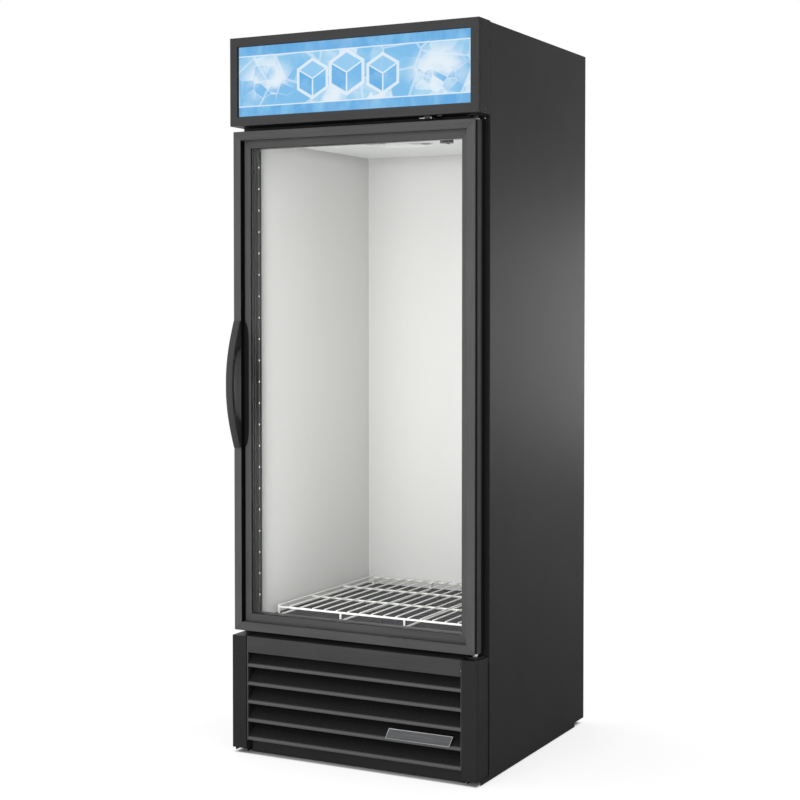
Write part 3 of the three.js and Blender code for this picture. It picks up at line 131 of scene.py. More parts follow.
class Tree:
    """A node tree in which one method makes every node."""

    def __init__(self, node_tree):
        self.node_tree = node_tree
        node_tree.nodes.clear()

    def node(self, kind, settings=None, inputs=None, output=0):
        """Makes a node, sets it up, then fills its sockets with values or links."""
        made = self.node_tree.nodes.new(kind)
        for key, value in (settings or {}).items():
            setattr(made, key, value)
        for key, value in (inputs or {}).items():
            for each in value if isinstance(value, list) else [value]:
                if isinstance(each, Value):
                    self.node_tree.links.new(each.socket, made.inputs[key])
                else:
                    made.inputs[key].default_value = each
        return Value(self, made.outputs[output]) if len(made.outputs) else None

    def math(self, operation, *values):
        return self.node("ShaderNodeMath", {"operation": operation}, dict(enumerate(values)))

    def parts(self, vector):
        """The x, y and z of a vector."""
        return [self.node("ShaderNodeSeparateXYZ", {}, {"Vector": vector}, axis) for axis in "XYZ"]

    def vector(self, x, y, z):
        return self.node("ShaderNodeCombineXYZ", {}, {"X": x, "Y": y, "Z": z})

    def most(self, first, second):
        return self.math("MAXIMUM", first, second)

    def ease(self, value, low, high):
        """0 below low, 1 above high, and a smooth rise between them."""
        return self.node(
            "ShaderNodeMapRange",
            {"interpolation_type": "SMOOTHSTEP"},
            {"Value": value, "From Min": low, "From Max": high},
        )

    def seen(self):
        """1 for a ray from the camera, or by way of gloss or glass, and 0 for soft light."""
        kinds = ("Is Camera Ray", "Is Glossy Ray", "Is Transmission Ray")
        camera, glossy, clear = [self.node("ShaderNodeLightPath", output=kind) for kind in kinds]
        return self.most(self.most(camera, glossy), clear)

    def blend(self, factor, first, second):
        """The first colour where the factor is 0, and the second where it is 1."""
        colours = {0: factor, 6: first, 7: second}
        return self.node("ShaderNodeMix", {"data_type": "RGBA"}, colours, 2)


class Finish(Tree):
    """A material under construction."""

    def __init__(self, name):
        self.material = bpy.data.materials.new(name)
        self.material.use_nodes = True
        super().__init__(self.material.node_tree)
        self.place = self.node("ShaderNodeTexCoord", output="Object")

    def noise(self, scale, detail=2.0, stretch=None):
        place = self.place
        if stretch:
            place = self.node("ShaderNodeMapping", {}, {"Vector": place, "Scale": stretch})
        inputs = {"Vector": place, "Scale": scale, "Detail": detail}
        return self.node("ShaderNodeTexNoise", {}, inputs)

    def cells(self, scale, feature="F1", output="Distance", place=None):
        inputs = {"Vector": place or self.place, "Scale": scale}
        return self.node("ShaderNodeTexVoronoi", {"feature": feature}, inputs, output)

    def edge_wear(self):
        """1 on the rounded edges of a piece, 0 on its flats."""
        return self.node("ShaderNodeAttribute", {"attribute_name": "edge"}, output="Fac")

    def bump(self, height, depth, strength):
        inputs = {"Height": height, "Distance": depth, "Strength": strength}
        return self.node("ShaderNodeBump", {}, inputs, "Normal")

    def surface(self, colour, roughness, **others):
        inputs = {"Base Color": colour, "Roughness": roughness}
        inputs.update({key.replace("_", " "): value for key, value in others.items()})
        shader = self.node("ShaderNodeBsdfPrincipled", {}, inputs)
        self.node("ShaderNodeOutputMaterial", {}, {"Surface": shader})
        return self.material


def grey(level, tint=(1.0, 1.0, 1.0)):
    return (*(level * part for part in tint), 1.0)


def coated_black(name, level, roughness, ior, texture, grain=None, zone=None, zone_level=0.0):
    """Black coated metal: cloudy tone, fine texture or grain, and slightly rubbed edges.

    Where the zone is 1, its grey level is another.
    """
    f = Finish(name)
    cloud = f.noise(4.0, 3.0)
    speckle = f.noise(850.0, 1.0)
    streak = f.noise(1.0, 3.0, grain) if grain else speckle
    tone = f.ease(cloud * 0.5 + streak * 0.5, 0.25, 0.75)
    base = f.blend(tone, grey(level * 0.82), grey(level * 1.18, (1.0, 1.0, 1.01)))
    rubbed = f.edge_wear() * f.ease(f.noise(60.0, 4.0), 0.42, 0.62)
    colour = f.blend(rubbed * 0.55, base, grey(level * 2.6))
    if zone:
        colour = f.blend(zone(f), colour, grey(zone_level))
    rough = streak * 0.12 + (roughness - 0.06) - rubbed * 0.08
    normal = f.bump(speckle * texture + streak * 0.4, 0.0004, 0.35)
    return f.surface(colour, rough, Normal=normal, IOR=ior)


# Across the door and louvres: x from the middle, or depth behind the front plane
EDGE_BAND_FROM = 0.3665
STEP_FROM = 0.344
SLOT_MIDDLE = 9.7 * MM
SLOT_EDGE = (8.4 * MM, 8.2 * MM)
REAR_BAND_FROM = 39.8 * MM
LIP_EDGE = (8.6 * MM, 7.6 * MM)
LIP_SLOPE = (46 * MM, 8 * MM)


def dark_bands_and_painted_step_shade(f):
    """1 on two darker bands in the outer edge of the door, and on the wall of its step, where
    shade is painted.
    """
    side, front = f.parts(f.place)[:2]
    deep = front - FRONT_PLANE
    slot = f.ease(abs(deep - SLOT_MIDDLE), *SLOT_EDGE)
    dark_bands = (abs(side) > EDGE_BAND_FROM) * f.most(slot, deep > REAR_BAND_FROM)
    return f.most(dark_bands, (abs(side) > STEP_FROM) * (abs(side) < EDGE_BAND_FROM))


def painted_lip_highlight(f):
    """1 on the lips of the louvres, where a highlight is painted, and falling to 0 deep inside,
    which paints shade back along the slats.
    """
    deep = f.parts(f.place)[1] - FRONT_PLANE
    return f.ease(deep, *LIP_EDGE) * 0.85 + f.ease(deep, *LIP_SLOPE) * 0.15


UPRIGHT_GRAIN = (420, 420, 5)
LEVEL_GRAIN = (5, 420, 420)
panel_black = coated_black("panel_black", 0.035, 0.42, 1.12, 1.0)
# The lips of the slats take a much lighter level, a painted highlight, with painted shade deeper
# along the slats.
grille_black = coated_black(
    "grille_black", 0.012, 0.28, 1.5, 0.4, zone=painted_lip_highlight, zone_level=0.11
)
strip_black = coated_black("strip_black", 0.066, 0.42, 1.3, 0.4, LEVEL_GRAIN)
post_black = coated_black("post_black", 0.028, 0.45, 1.25, 0.6)
sign_black = coated_black("sign_black", 0.060, 0.42, 1.28, 0.3, LEVEL_GRAIN)
frame_upright = coated_black("frame_upright", 0.118, 0.42, 1.25, 0.15, UPRIGHT_GRAIN)
# The rails: the stiles' paint at a darker level, a painted shade.
frame_level = coated_black("frame_level", 0.104, 0.42, 1.25, 0.15, LEVEL_GRAIN)
# The left and right faces of the door frame: the frame paint at a darker level, a painted shade,
# and darker still on the zone's bands and step wall.
frame_edge_painted_shade = coated_black(
    "frame_edge_painted_shade", 0.085, 0.50, 1.12, 0.15, UPRIGHT_GRAIN, dark_bands_and_painted_step_shade, 0.007
)


def moulded_black(name, level, roughness):
    f = Finish(name)
    pebble = f.cells(900.0, "SMOOTH_F1")
    cloud = f.noise(12.0, 3.0)
    colour = f.blend(cloud, grey(level * 0.85), grey(level * 1.2))
    worn = f.edge_wear() * f.ease(f.noise(90.0, 3.0), 0.4, 0.6)
    return f.surface(
        f.blend(worn * 0.4, colour, grey(level * 2.5)),
        roughness + cloud * 0.08 - worn * 0.05,
        Normal=f.bump(pebble, 0.0002, 0.25),
    )


plastic_black = moulded_black("plastic_black", 0.017, 0.30)
fan_grey = moulded_black("fan_grey", 0.045, 0.42)
handle_black = moulded_black("handle_black", 0.036, 0.34)
# The flat sides of the handle: its black at a much darker level, painted shade.
handle_side_painted_shade = moulded_black("handle_side_painted_shade", 0.004, 0.60)
smoked_cover = moulded_black("smoked_cover", 0.030, 0.25)
screw_black = moulded_black("screw_black", 0.005, 0.35)
compressor_black = moulded_black("compressor_black", 0.012, 0.28)


def soft_rubber():
    f = Finish("gasket_rubber")
    bloom = f.noise(30.0, 4.0)
    colour = f.blend(bloom, grey(0.010), grey(0.018))
    return f.surface(colour, 0.62 + bloom * 0.15, Normal=f.bump(f.noise(700.0), 0.0002, 0.3))


gasket_rubber = soft_rubber()


def white_sheet(name, tint, roughness):
    """White coated sheet of the inside, with faint waviness and handling marks."""
    f = Finish(name)
    wave = f.noise(3.0, 2.0)
    speck = f.ease(f.noise(160.0, 3.0), 0.66, 0.8)
    smear = f.ease(f.noise(1.0, 4.0, (9, 9, 3)), 0.55, 0.8)
    colour = f.blend(speck * 0.12 + smear * 0.08, tint, grey(0.42, (1.0, 0.98, 0.94)))
    normal = f.bump(f.noise(420.0, 1.0) * 0.4 + wave * 2.0, 0.0006, 0.3)
    return f.surface(colour, roughness + wave * 0.12, Normal=normal)


liner_white = white_sheet("liner_white", (0.66, 0.66, 0.645, 1.0), 0.34)
cover_white = white_sheet("cover_white", (0.72, 0.73, 0.73, 1.0), 0.38)


def dark_floor():
    f = Finish("floor_dark")
    scuff = f.ease(f.noise(1.0, 4.0, (220, 14, 14)), 0.52, 0.72)
    cloud = f.noise(14.0, 3.0)
    colour = f.blend(cloud, (0.020, 0.017, 0.022, 1.0), (0.036, 0.031, 0.040, 1.0))
    colour = f.blend(scuff * 0.35, colour, (0.085, 0.08, 0.09, 1.0))
    return f.surface(colour, 0.6 + scuff * 0.15, Normal=f.bump(scuff, 0.0003, 0.3), IOR=1.12)


floor_dark = dark_floor()


def coated_wire():
    f = Finish("wire_white")
    sag = f.noise(45.0, 3.0)
    chip = f.ease(f.noise(240.0, 3.0), 0.72, 0.76)
    colour = f.blend(sag, (0.80, 0.80, 0.76, 1.0), (0.88, 0.88, 0.85, 1.0))
    colour = f.blend(chip * 0.6, colour, (0.38, 0.37, 0.35, 1.0))
    return f.surface(colour, 0.30 + sag * 0.12, Normal=f.bump(sag, 0.0003, 0.4))


wire_white = coated_wire()


def galvanised(name, light, dark, roughness):
    """Zinc coated sheet with its spangle."""
    f = Finish(name)
    spangle = f.cells(75.0, "F1", "Color")
    tone = f.parts(spangle)[0]
    cloud = f.noise(6.0, 3.0)
    colour = f.blend(tone * 0.7 + cloud * 0.3, dark, light)
    scratch = f.ease(f.noise(1.0, 3.0, (30, 900, 900)), 0.6, 0.75)
    rough = roughness + tone * 0.16 - scratch * 0.05 - f.edge_wear() * 0.06
    normal = f.bump(tone * 0.4 + scratch * 0.5, 0.0002, 0.25)
    return f.surface(colour, rough, Normal=normal, Metallic=0.9)


zinc_sheet = galvanised(
    "zinc_sheet", grey(0.56, (0.97, 1, 1.02)), grey(0.36, (0.97, 1, 1.03)), 0.36
)
bright_zinc = galvanised("bright_zinc", grey(0.78), grey(0.62), 0.18)


def brushed_aluminium(name, stretch, light, dark, roughness):
    f = Finish(name)
    streak = f.noise(1.0, 4.0, stretch)
    colour = f.blend(f.ease(streak, 0.3, 0.7), dark, light)
    return f.surface(
        colour, roughness + streak * 0.14, Normal=f.bump(streak, 0.0002, 0.3), Metallic=0.95
    )


fin_aluminium = brushed_aluminium("fin_aluminium", (6, 400, 30), grey(0.70), grey(0.50), 0.32)
badge_rim = brushed_aluminium("badge_rim", (20, 900, 900), grey(0.85), grey(0.65), 0.35)
COOL = (0.96, 1.0, 1.03)
badge_field = brushed_aluminium(
    "badge_field", (14, 800, 1500), grey(0.24, COOL), grey(0.15, COOL), 0.40
)


def bare_copper():
    f = Finish("copper_tube")
    tarnish = f.ease(f.noise(70.0, 4.0), 0.4, 0.7)
    colour = f.blend(tarnish, (0.66, 0.30, 0.16, 1.0), (0.30, 0.13, 0.07, 1.0))
    return f.surface(colour, 0.28 + tarnish * 0.25, Metallic=1.0)


copper_tube = bare_copper()


def rigid_foam():
    f = Finish("rigid_foam")
    pore = f.cells(380.0, "SMOOTH_F1")
    colour = f.blend(f.noise(20.0, 3.0), (0.72, 0.60, 0.32, 1.0), (0.84, 0.75, 0.48, 1.0))
    return f.surface(colour, 0.92, Normal=f.bump(pore, 0.001, 0.5))


foam_yellow = rigid_foam()


LAMP_PITCH = 0.06


def lamp(name, warm, strength):
    """A milky lamp cover with its row of bright spots."""
    f = Finish(name)
    up = f.parts(f.place)[2]
    spot = abs(f.math("FRACT", up / LAMP_PITCH) - 0.5)
    near = f.ease(spot, 0.32, 0.08)
    colour = f.blend(near, (0.80, 0.81, 0.82, 1.0), (0.98, 0.99, 1.0, 1.0))
    glow = f.blend(near, (warm * 0.35, warm * 0.36, warm * 0.38, 1.0), (1.0, 1.0, 1.0, 1.0))
    return f.surface(colour, 0.35, Emission_Color=glow, Emission_Strength=strength)


lamp_cover = lamp("lamp_cover", 0.8, 0.35)
lamp_chip = lamp("lamp_chip", 1.0, 0.9)


def clear_glass(name, tint, haze):
    """A thin clear pane: mostly transparent, with more gloss at a grazing view."""
    f = Finish(name)
    smear = f.ease(f.noise(7.0, 4.0), 0.5, 0.8)
    gloss = f.node("ShaderNodeFresnel", {}, {"IOR": 1.38})
    alpha = gloss * 0.35 + haze + smear * 0.003
    return f.surface(tint, 0.02 + smear * 0.02, Alpha=alpha, Metallic=0.85)


pane_outer = clear_glass("pane_outer", (0.86, 0.90, 0.90, 1.0), 0.003)
pane_inner = clear_glass("pane_inner", (0.82, 0.88, 0.87, 1.0), 0.002)


# ---- Sign print: pale blue ice facets between two deeper bands ----
SIGN_HALF = (0.356, 0.097)
SIGN_MIDDLE = 1.875
BAND_FROM = 0.069
LARGE_ICE = 9.0
SMALL_ICE = 26.0
CUBES = (((-0.118, -0.004), 0.052), ((-0.012, 0.006), 0.058), ((0.098, -0.004), 0.052))
CUBE_LEFT = (0.10, 0.42, 0.80, 1.0)
CUBE_RIGHT = (0.17, 0.50, 0.86, 1.0)
CUBE_TOP = (0.30, 0.62, 0.91, 1.0)
BORDER_BROWN = (0.035, 0.028, 0.024, 1.0)
SLOPE_30 = 0.57735  # the rise of an edge at 30 degrees
LENGTH_30 = 1.1547  # its length, each for a step of 1 across


def sign_print():
    f = Finish("sign_ice")
    x, z = f.parts(f.place)[::2]
    up = z - SIGN_MIDDLE
    plane = f.vector(x, up * 1.15, 0.37)
    large = f.parts(f.cells(LARGE_ICE, "F1", "Color", plane))[0]
    small = f.parts(f.cells(SMALL_ICE, "F1", "Color", plane))[1]
    seam_large, seam_small = [
        f.ease(f.cells(scale, "DISTANCE_TO_EDGE", "Distance", plane), width, 0.0)
        for scale, width in ((LARGE_ICE, 0.045), (SMALL_ICE, 0.05))
    ]
    cloud = f.node("ShaderNodeTexNoise", {}, {"Vector": plane, "Scale": 14.0, "Detail": 5.0})
    deep = (0.105, 0.40, 0.78, 1.0)
    middle = (0.20, 0.53, 0.86, 1.0)
    pale = (0.40, 0.69, 0.92, 1.0)
    white = (0.80, 0.90, 0.99, 1.0)
    tone = large * 0.45 + small * 0.2 + cloud * 0.55
    colour = f.blend(f.ease(tone, 0.46, 0.74), middle, pale)
    colour = f.blend(f.ease(tone, 0.68, 0.92), colour, white)

    def pile(centre, radius):
        """The bright heap of ice at one end of the sign."""
        away = ((x - centre) * (x - centre) + up * up * 2.2) ** 0.5
        ragged = away + (cloud - 0.5) * 0.08
        return f.ease(ragged, radius, radius * 0.35)

    heap = f.most(pile(-0.262, 0.105), pile(0.262, 0.115))
    colour = f.blend(heap * f.ease(cloud + small * 0.25, 0.42, 0.72), colour, white)
    colour = f.blend(seam_large * 0.55, colour, white)
    colour = f.blend(seam_small * heap * 0.75, colour, white)
    shade = f.ease(f.noise(19.0, 4.0), 0.6, 0.72) * heap
    colour = f.blend(shade * 0.85, colour, middle)

    def cube(centre, size):
        """A plain ice cube seen corner on: three faces inside a hexagon."""
        u = x - centre[0]
        v = up - centre[1]
        reach = f.most(abs(u) * LENGTH_30, abs(u) * SLOPE_30 + abs(v))
        inside = f.ease(reach, size, size * 0.97)
        rim = f.ease(abs(reach - size), size * 0.11, size * 0.07)
        top = f.ease(v - abs(u) * SLOPE_30, -size * 0.01, size * 0.01)
        right = u > 0.0
        upright = abs(u) + f.ease(v, -size * 0.05, size * 0.05)
        spokes = f.math("MINIMUM", abs(v - abs(u) * SLOPE_30), upright)
        rib = f.ease(spokes, size * 0.055, size * 0.03) * inside
        return inside, rim, rib, top, right

    for centre, size in CUBES:
        inside, rim, rib, top, right = cube(centre, size)
        face = f.blend(top, f.blend(right, CUBE_LEFT, CUBE_RIGHT), CUBE_TOP)
        face = f.blend(f.ease(cloud, 0.45, 0.7) * 0.35, face, pale)
        colour = f.blend(inside * 0.92, colour, face)
        colour = f.blend(f.most(rim, rib) * 0.9, colour, white)

    height = abs(up)
    band = f.ease(height, BAND_FROM, BAND_FROM + 2 * MM)
    streaks = f.noise(1.0, 3.0, (30, 1, 12))
    band_colour = f.blend(f.ease(streaks, 0.4, 0.7), deep, middle)
    colour = f.blend(band * 0.9, colour, band_colour)
    line = f.ease(abs(height - BAND_FROM), 2.2 * MM, 1.2 * MM)
    colour = f.blend(line * 0.8, colour, white)
    ends, edges = [
        f.ease(reach, half - 1.6 * MM, half - 1.2 * MM)
        for reach, half in zip((abs(x), height), SIGN_HALF)
    ]
    colour = f.blend(f.most(ends, edges), colour, BORDER_BROWN)
    printed = f.blend(0.75, colour, grey(0.0))
    return f.surface(printed, 0.22, Emission_Color=colour, Emission_Strength=0.72)


sign_ice = sign_print()


# ---- Meshes ----
SIDE_FACE = 0.8  # the least x of the normal of a left or right face
SHARP_TURN = 32.0


def placed(name, data):
    """A new object in the scene."""
    made = bpy.data.objects.new(name, data)
    bpy.context.scene.collection.objects.link(made)
    return made


def mesh_of(shape, name, *materials):
    """The mesh of a finished shape, which is freed."""
    mesh = bpy.data.meshes.new(name)
    shape.to_mesh(mesh)
    shape.free()
    for material in materials:
        mesh.materials.append(material)
    return mesh


def soften(shape, edges, width, clamp=False):
    """Rounds edges over with two narrow faces."""
    return bmesh.ops.bevel(
        shape,
        geom=edges,
        offset=width,
        segments=2,
        profile=0.5,
        affect="EDGES",
        clamp_overlap=clamp,
    )


def keep(name, mesh, body, replaced=()):
    """Links a finished mesh as a piece that rides on a body."""
    piece = placed(name, mesh)
    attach(piece, body)
    if replaced:
        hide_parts(*replaced)
    return piece


def rounded_normals(shape, added, limit):
    """Corner normals that keep flats flat and let the narrow edge faces turn between them."""
    normals = []
    for face in shape.faces:
        for corner in face.loops:
            around = corner.vert.link_faces
            plain = [f for f in around if not f[added]]
            if not plain:
                chosen = around
            else:
                nearest = face
                if face[added]:
                    nearest = max(plain, key=lambda f: f.normal.dot(face.normal))
                chosen = [f for f in plain if f.normal.dot(nearest.normal) > limit]
            total = Vector()
            for f in chosen:
                total += f.normal * f.calc_area()
            normals.append(total.normalized() if total.length > 1e-20 else face.normal)
    return normals


def pressed(shape, places):
    """Presses a dimple under every flush screw of a sheet."""
    facing = shape.verts.layers.float_vector.new("facing")
    size = shape.verts.layers.float.new("size")
    for place, direction, radius in places:
        point = shape.verts.new(place)
        point[facing] = direction
        point[size] = radius
    sheet = bpy.data.meshes.new("sheet")
    shape.to_mesh(sheet)
    dented = shaped(screw_dimples, None, {}, sheet)
    for name in ("facing", "size"):
        if name in dented.attributes:
            dented.attributes.remove(dented.attributes[name])
    dented.materials.clear()
    shape.clear()
    shape.from_mesh(dented)
    bmesh.ops.remove_doubles(shape, verts=shape.verts, dist=1e-6)


def finished(node, material, bevel=0.0, side_material=None):
    """A merged copy of a CAD node with softened edges, which stands for it.

    Its left and right faces may have a finish of their own.
    """
    limit = math.cos(math.radians(SHARP_TURN))
    shape = bmesh.new()
    shape.from_mesh(frame["nodes"][node].data)
    bmesh.ops.remove_doubles(shape, verts=shape.verts, dist=1e-5)
    bmesh.ops.dissolve_limit(
        shape, angle_limit=math.radians(0.4), verts=shape.verts, edges=shape.edges
    )
    if node in FLUSH_SCREWS:
        pressed(shape, FLUSH_SCREWS[node])
    added = shape.faces.layers.int.new("added")
    edge = shape.verts.layers.float.new("edge")
    if bevel:
        sharp = [
            e
            for e in shape.edges
            if len(e.link_faces) == 2
            and e.is_convex
            and e.link_faces[0].normal.dot(e.link_faces[1].normal) < limit
        ]
        for face in soften(shape, sharp, bevel, clamp=True)["faces"]:
            face[added] = 1
    shape.normal_update()
    for vert in shape.verts:
        vert[edge] = float(bool(vert.link_faces) and all(f[added] for f in vert.link_faces))
    normals = rounded_normals(shape, added, limit)
    mesh = mesh_of(shape, node + "_finished", material)
    mesh.polygons.foreach_set("use_smooth", [True] * len(mesh.polygons))
    mesh.normals_split_custom_set(normals)
    mesh.attributes.remove(mesh.attributes["added"])
    if side_material:
        mesh.materials.append(side_material)
        for face in mesh.polygons:
            face.material_index = int(abs(face.normal.x) > SIDE_FACE)
    return keep(node + "_finished", mesh, BODY_OF[node], [node])


# Finish, width of the softened edges in mm, nodes, and a finish of their own for the sides
FINISHES = (
    (panel_black, 0.5, "cabinet_wrap"),
    (panel_black, 0.4, "sign_housing kick_plate"),
    (panel_black, 0.3, "hinge_bracket_top hinge_bracket_bottom base_rail_left base_rail_right"),
    (post_black, 0.3, "face_frame"),
    (post_black, 0.5, "corner_post_left corner_post_right", panel_black),
    (sign_black, 0.5, "sign_bezel", panel_black),
    (frame_upright, 0.4, "door_left_stile door_right_stile", frame_edge_painted_shade),
    (frame_level, 0.4, "door_top_rail door_bottom_rail", frame_edge_painted_shade),
    (smoked_cover, 0.3, "door_light_left door_light_right"),
    (plastic_black, 0.0, "glass_spacer_outer glass_spacer_inner"),
    (plastic_black, 0.3, "levelling_foot_front_left levelling_foot_back_left"),
    (plastic_black, 0.3, "levelling_foot_front_right levelling_foot_back_right"),
    (plastic_black, 0.4, "lock_body temperature_dial"),
    (plastic_black, 0.5, "light_switch"),
    (gasket_rubber, 0.4, "door_gasket cable_grommet"),
    (liner_white, 0.3, "inner_liner"),
    (cover_white, 0.4, "evaporator_cover"),
    (floor_dark, 0.3, "floor_tray"),
    (lamp_cover, 0.0, "sign_light_bar"),
    (bright_zinc, 0.2, "hinge_bush_top hinge_bush_bottom"),
    (bright_zinc, 0.3, "lock_plug"),
    (zinc_sheet, 0.0, "closer_torsion_rod"),
    (zinc_sheet, 0.3, "back_panel rear_vent_cover machine_floor"),
    (zinc_sheet, 0.4, "fan_shroud evaporator_fan_motor condenser_fan_motor"),
    (zinc_sheet, 0.6, "control_box"),
    (fan_grey, 0.3, "evaporator_fan_blade condenser_fan_blade"),
    (fin_aluminium, 0.3, "evaporator_drip_tray"),
    (fin_aluminium, 0.4, "condensate_pan"),
    (compressor_black, 0.6, "compressor"),
    (copper_tube, 0.0, "suction_pipe"),
)


# ---- Geometry Nodes ----
class Shaper(Tree):
    """A Geometry Nodes tree with named inputs. It ends realised, with its material set."""

    KINDS = {int: "NodeSocketInt", float: "NodeSocketFloat", tuple: "NodeSocketVector"}

    def __init__(self, name, sizes):
        self.group = bpy.data.node_groups.new(name, "GeometryNodeTree")
        super().__init__(self.group)
        ports = self.group.interface
        ports.new_socket("Geometry", in_out="OUTPUT", socket_type="NodeSocketGeometry")
        ports.new_socket("Start", in_out="INPUT", socket_type="NodeSocketGeometry")
        ports.new_socket("Material", in_out="INPUT", socket_type="NodeSocketMaterial")
        for label, value in sizes.items():
            kind = self.KINDS[type(value)]
            ports.new_socket(label, in_out="INPUT", socket_type=kind).default_value = value
        self.entry = self.group.nodes.new("NodeGroupInput")

    def given(self, label):
        return Value(self, self.entry.outputs[label])

    def copies(self, points, thing, **turn_and_size):
        inputs = {"Points": points, "Instance": thing, **turn_and_size}
        return self.node("GeometryNodeInstanceOnPoints", {}, inputs)

    def line(self, count, step):
        return self.node("GeometryNodeMeshLine", {}, {"Count": count, "Offset": step})

    def row_of(self, thing):
        """Copies of a thing, each one step further along."""
        return self.copies(self.line(self.given("Count"), self.given("Step")), thing)

    def moved(self, geometry, by):
        return self.node("GeometryNodeTransform", {}, {"Geometry": geometry, "Translation": by})

    def circle(self, sides, radius):
        inputs = {"Resolution": sides, "Radius": radius}
        return self.node("GeometryNodeCurvePrimitiveCircle", {}, inputs)

    def cut(self, solid, tools):
        inputs = {"Mesh 1": solid, "Mesh 2": tools}
        settings = {"operation": "DIFFERENCE", "solver": "EXACT"}
        return self.node("GeometryNodeMeshBoolean", settings, inputs)

    def named(self, kind, name):
        """An attribute of the points."""
        return self.node("GeometryNodeInputNamedAttribute", {"data_type": kind}, {"Name": name})

    def close(self, geometry):
        whole = self.node("GeometryNodeRealizeInstances", {}, {"Geometry": geometry})
        dress = {"Geometry": whole, "Material": self.given("Material")}
        dressed = self.node("GeometryNodeSetMaterial", {}, dress)
        self.node("NodeGroupOutput", {}, {"Geometry": dressed})
        return self


def shaped(shaper, material, sizes, start=None):
    """The plain mesh that a tree makes from its inputs."""
    host = placed("host", start or bpy.data.meshes.new("host"))
    modifier = host.modifiers.new("shape", "NODES")
    modifier.node_group = shaper.group
    ports = {
        port.name: port.identifier
        for port in shaper.group.interface.items_tree
        if port.in_out == "INPUT"
    }
    if material:
        modifier[ports["Material"]] = material
    for label, value in sizes.items():
        modifier[ports[label]] = value
    graph = bpy.context.evaluated_depsgraph_get()
    mesh = bpy.data.meshes.new_from_object(host.evaluated_get(graph), depsgraph=graph)
    host.modifiers.remove(modifier)
    bpy.data.objects.remove(host)
    return mesh


def gathered(name, meshes, body, replaced=(), turn_limit=35.0):
    """Joins plain meshes into one piece, smooth except across its sharp edges."""
    whole = bmesh.new()
    materials = []
    for mesh in meshes:
        done = len(whole.faces)
        whole.from_mesh(mesh)
        whole.faces.ensure_lookup_table()
        for face in whole.faces[done:]:
            face.material_index += len(materials)
            face.smooth = True
        materials.extend(mesh.materials)
    mesh = mesh_of(whole, name, *materials)
    mesh.set_sharp_from_angle(angle=math.radians(turn_limit))
    return keep(name, mesh, body, replaced)


def path_mesh(points, closed=False):
    mesh = bpy.data.meshes.new("path")
    links = [(i, i + 1) for i in range(len(points) - 1)]
    if closed:
        links.append((len(points) - 1, 0))
    mesh.from_pydata(points, links, [])
    return mesh


def block_mesh(low, high, bevel=0.0):
    """A block between two corners, with its edges softened."""
    shape = bmesh.new()
    middle = (Vector(low) + Vector(high)) / 2
    size = Vector(high) - Vector(low)
    place = Matrix.Translation(middle) @ Matrix.Diagonal((*size, 1.0))
    bmesh.ops.create_cube(shape, size=1.0, matrix=place)
    if bevel:
        soften(shape, shape.edges[:], bevel)
    return mesh_of(shape, "block")


def section_mesh(section, left, right):
    """A (y, z) section pushed along X."""
    shape = bmesh.new()
    ends = [[shape.verts.new((x, y, z)) for y, z in section] for x in (left, right)]
    count = len(section)
    for i in range(count):
        j = (i + 1) % count
        shape.faces.new((ends[0][i], ends[0][j], ends[1][j], ends[1][i]))
    shape.faces.new(ends[0])
    shape.faces.new(reversed(ends[1]))
    bmesh.ops.recalc_face_normals(shape, faces=shape.faces)
    return mesh_of(shape, "section")


def wire_tree():
    """Rows of one bent wire: rack wires and refrigerant tubes."""
    sizes = {"Count": 1, "Step": ORIGIN, "Wire Radius": 0.002, "Bend Radius": 0.006, "Sides": 10}
    t = Shaper("wire_row", sizes)
    path = t.node("GeometryNodeMeshToCurve", {}, {"Mesh": t.given("Start")})
    turn = {"Curve": path, "Radius": t.given("Bend Radius"), "Count": 6, "Limit Radius": True}
    bent = t.node("GeometryNodeFilletCurve", {"mode": "POLY"}, turn)
    profile = t.circle(t.given("Sides"), t.given("Wire Radius"))
    sweep = {"Curve": bent, "Profile Curve": profile, "Fill Caps": True}
    return t.close(t.row_of(t.node("GeometryNodeCurveToMesh", {}, sweep)))


def solid_tree():
    """Rows of one solid: fins, end plates, slats, cheeks, lamp chips."""
    t = Shaper("solid_row", {"Count": 1, "Step": ORIGIN})
    return t.close(t.row_of(t.given("Start")))


def ring_tree():
    """Wire rings about one middle, each wider than the last by the ring pitch."""
    t = Shaper(
        "wire_rings",
        {
            "Count": 3,
            "First Radius": 0.01,
            "Ring Pitch": 0.01,
            "Wire Radius": 0.001,
            "Segments": 48,
            "Middle": ORIGIN,
        },
    )
    radius = t.given("First Radius") + t.node("GeometryNodeInputIndex") * t.given("Ring Pitch")
    scale = t.vector(radius, radius, radius)
    points = t.line(t.given("Count"), ORIGIN)
    rings = t.copies(points, t.circle(t.given("Segments"), 1.0), Scale=scale)
    loose = t.node("GeometryNodeRealizeInstances", {}, {"Geometry": rings})
    profile = t.circle(8, t.given("Wire Radius"))
    wire = t.node("GeometryNodeCurveToMesh", {}, {"Curve": loose, "Profile Curve": profile})
    return t.close(t.moved(wire, t.given("Middle")))


def on_points(t, points, thing, spin_seed=None):
    """A copy of a thing on every point, turned to the point's facing and as large as its size."""
    turned = t.node(
        "FunctionNodeAlignRotationToVector",
        {"axis": "Z"},
        {"Vector": t.named("FLOAT_VECTOR", "facing")},
    )
    if spin_seed:
        random = {"Seed": spin_seed, 2: 0.0, 3: math.pi}
        angle = t.node("FunctionNodeRandomValue", {"data_type": "FLOAT"}, random, 1)
        spin = t.node("FunctionNodeAxisAngleToRotation", {}, {"Axis": UP, "Angle": angle})
        turned = t.node(
            "FunctionNodeRotateRotation",
            {"rotation_space": "LOCAL"},
            {"Rotation": turned, "Rotate By": spin},
        )
    return t.copies(points, thing, Rotation=turned, Scale=t.named("FLOAT", "size"))


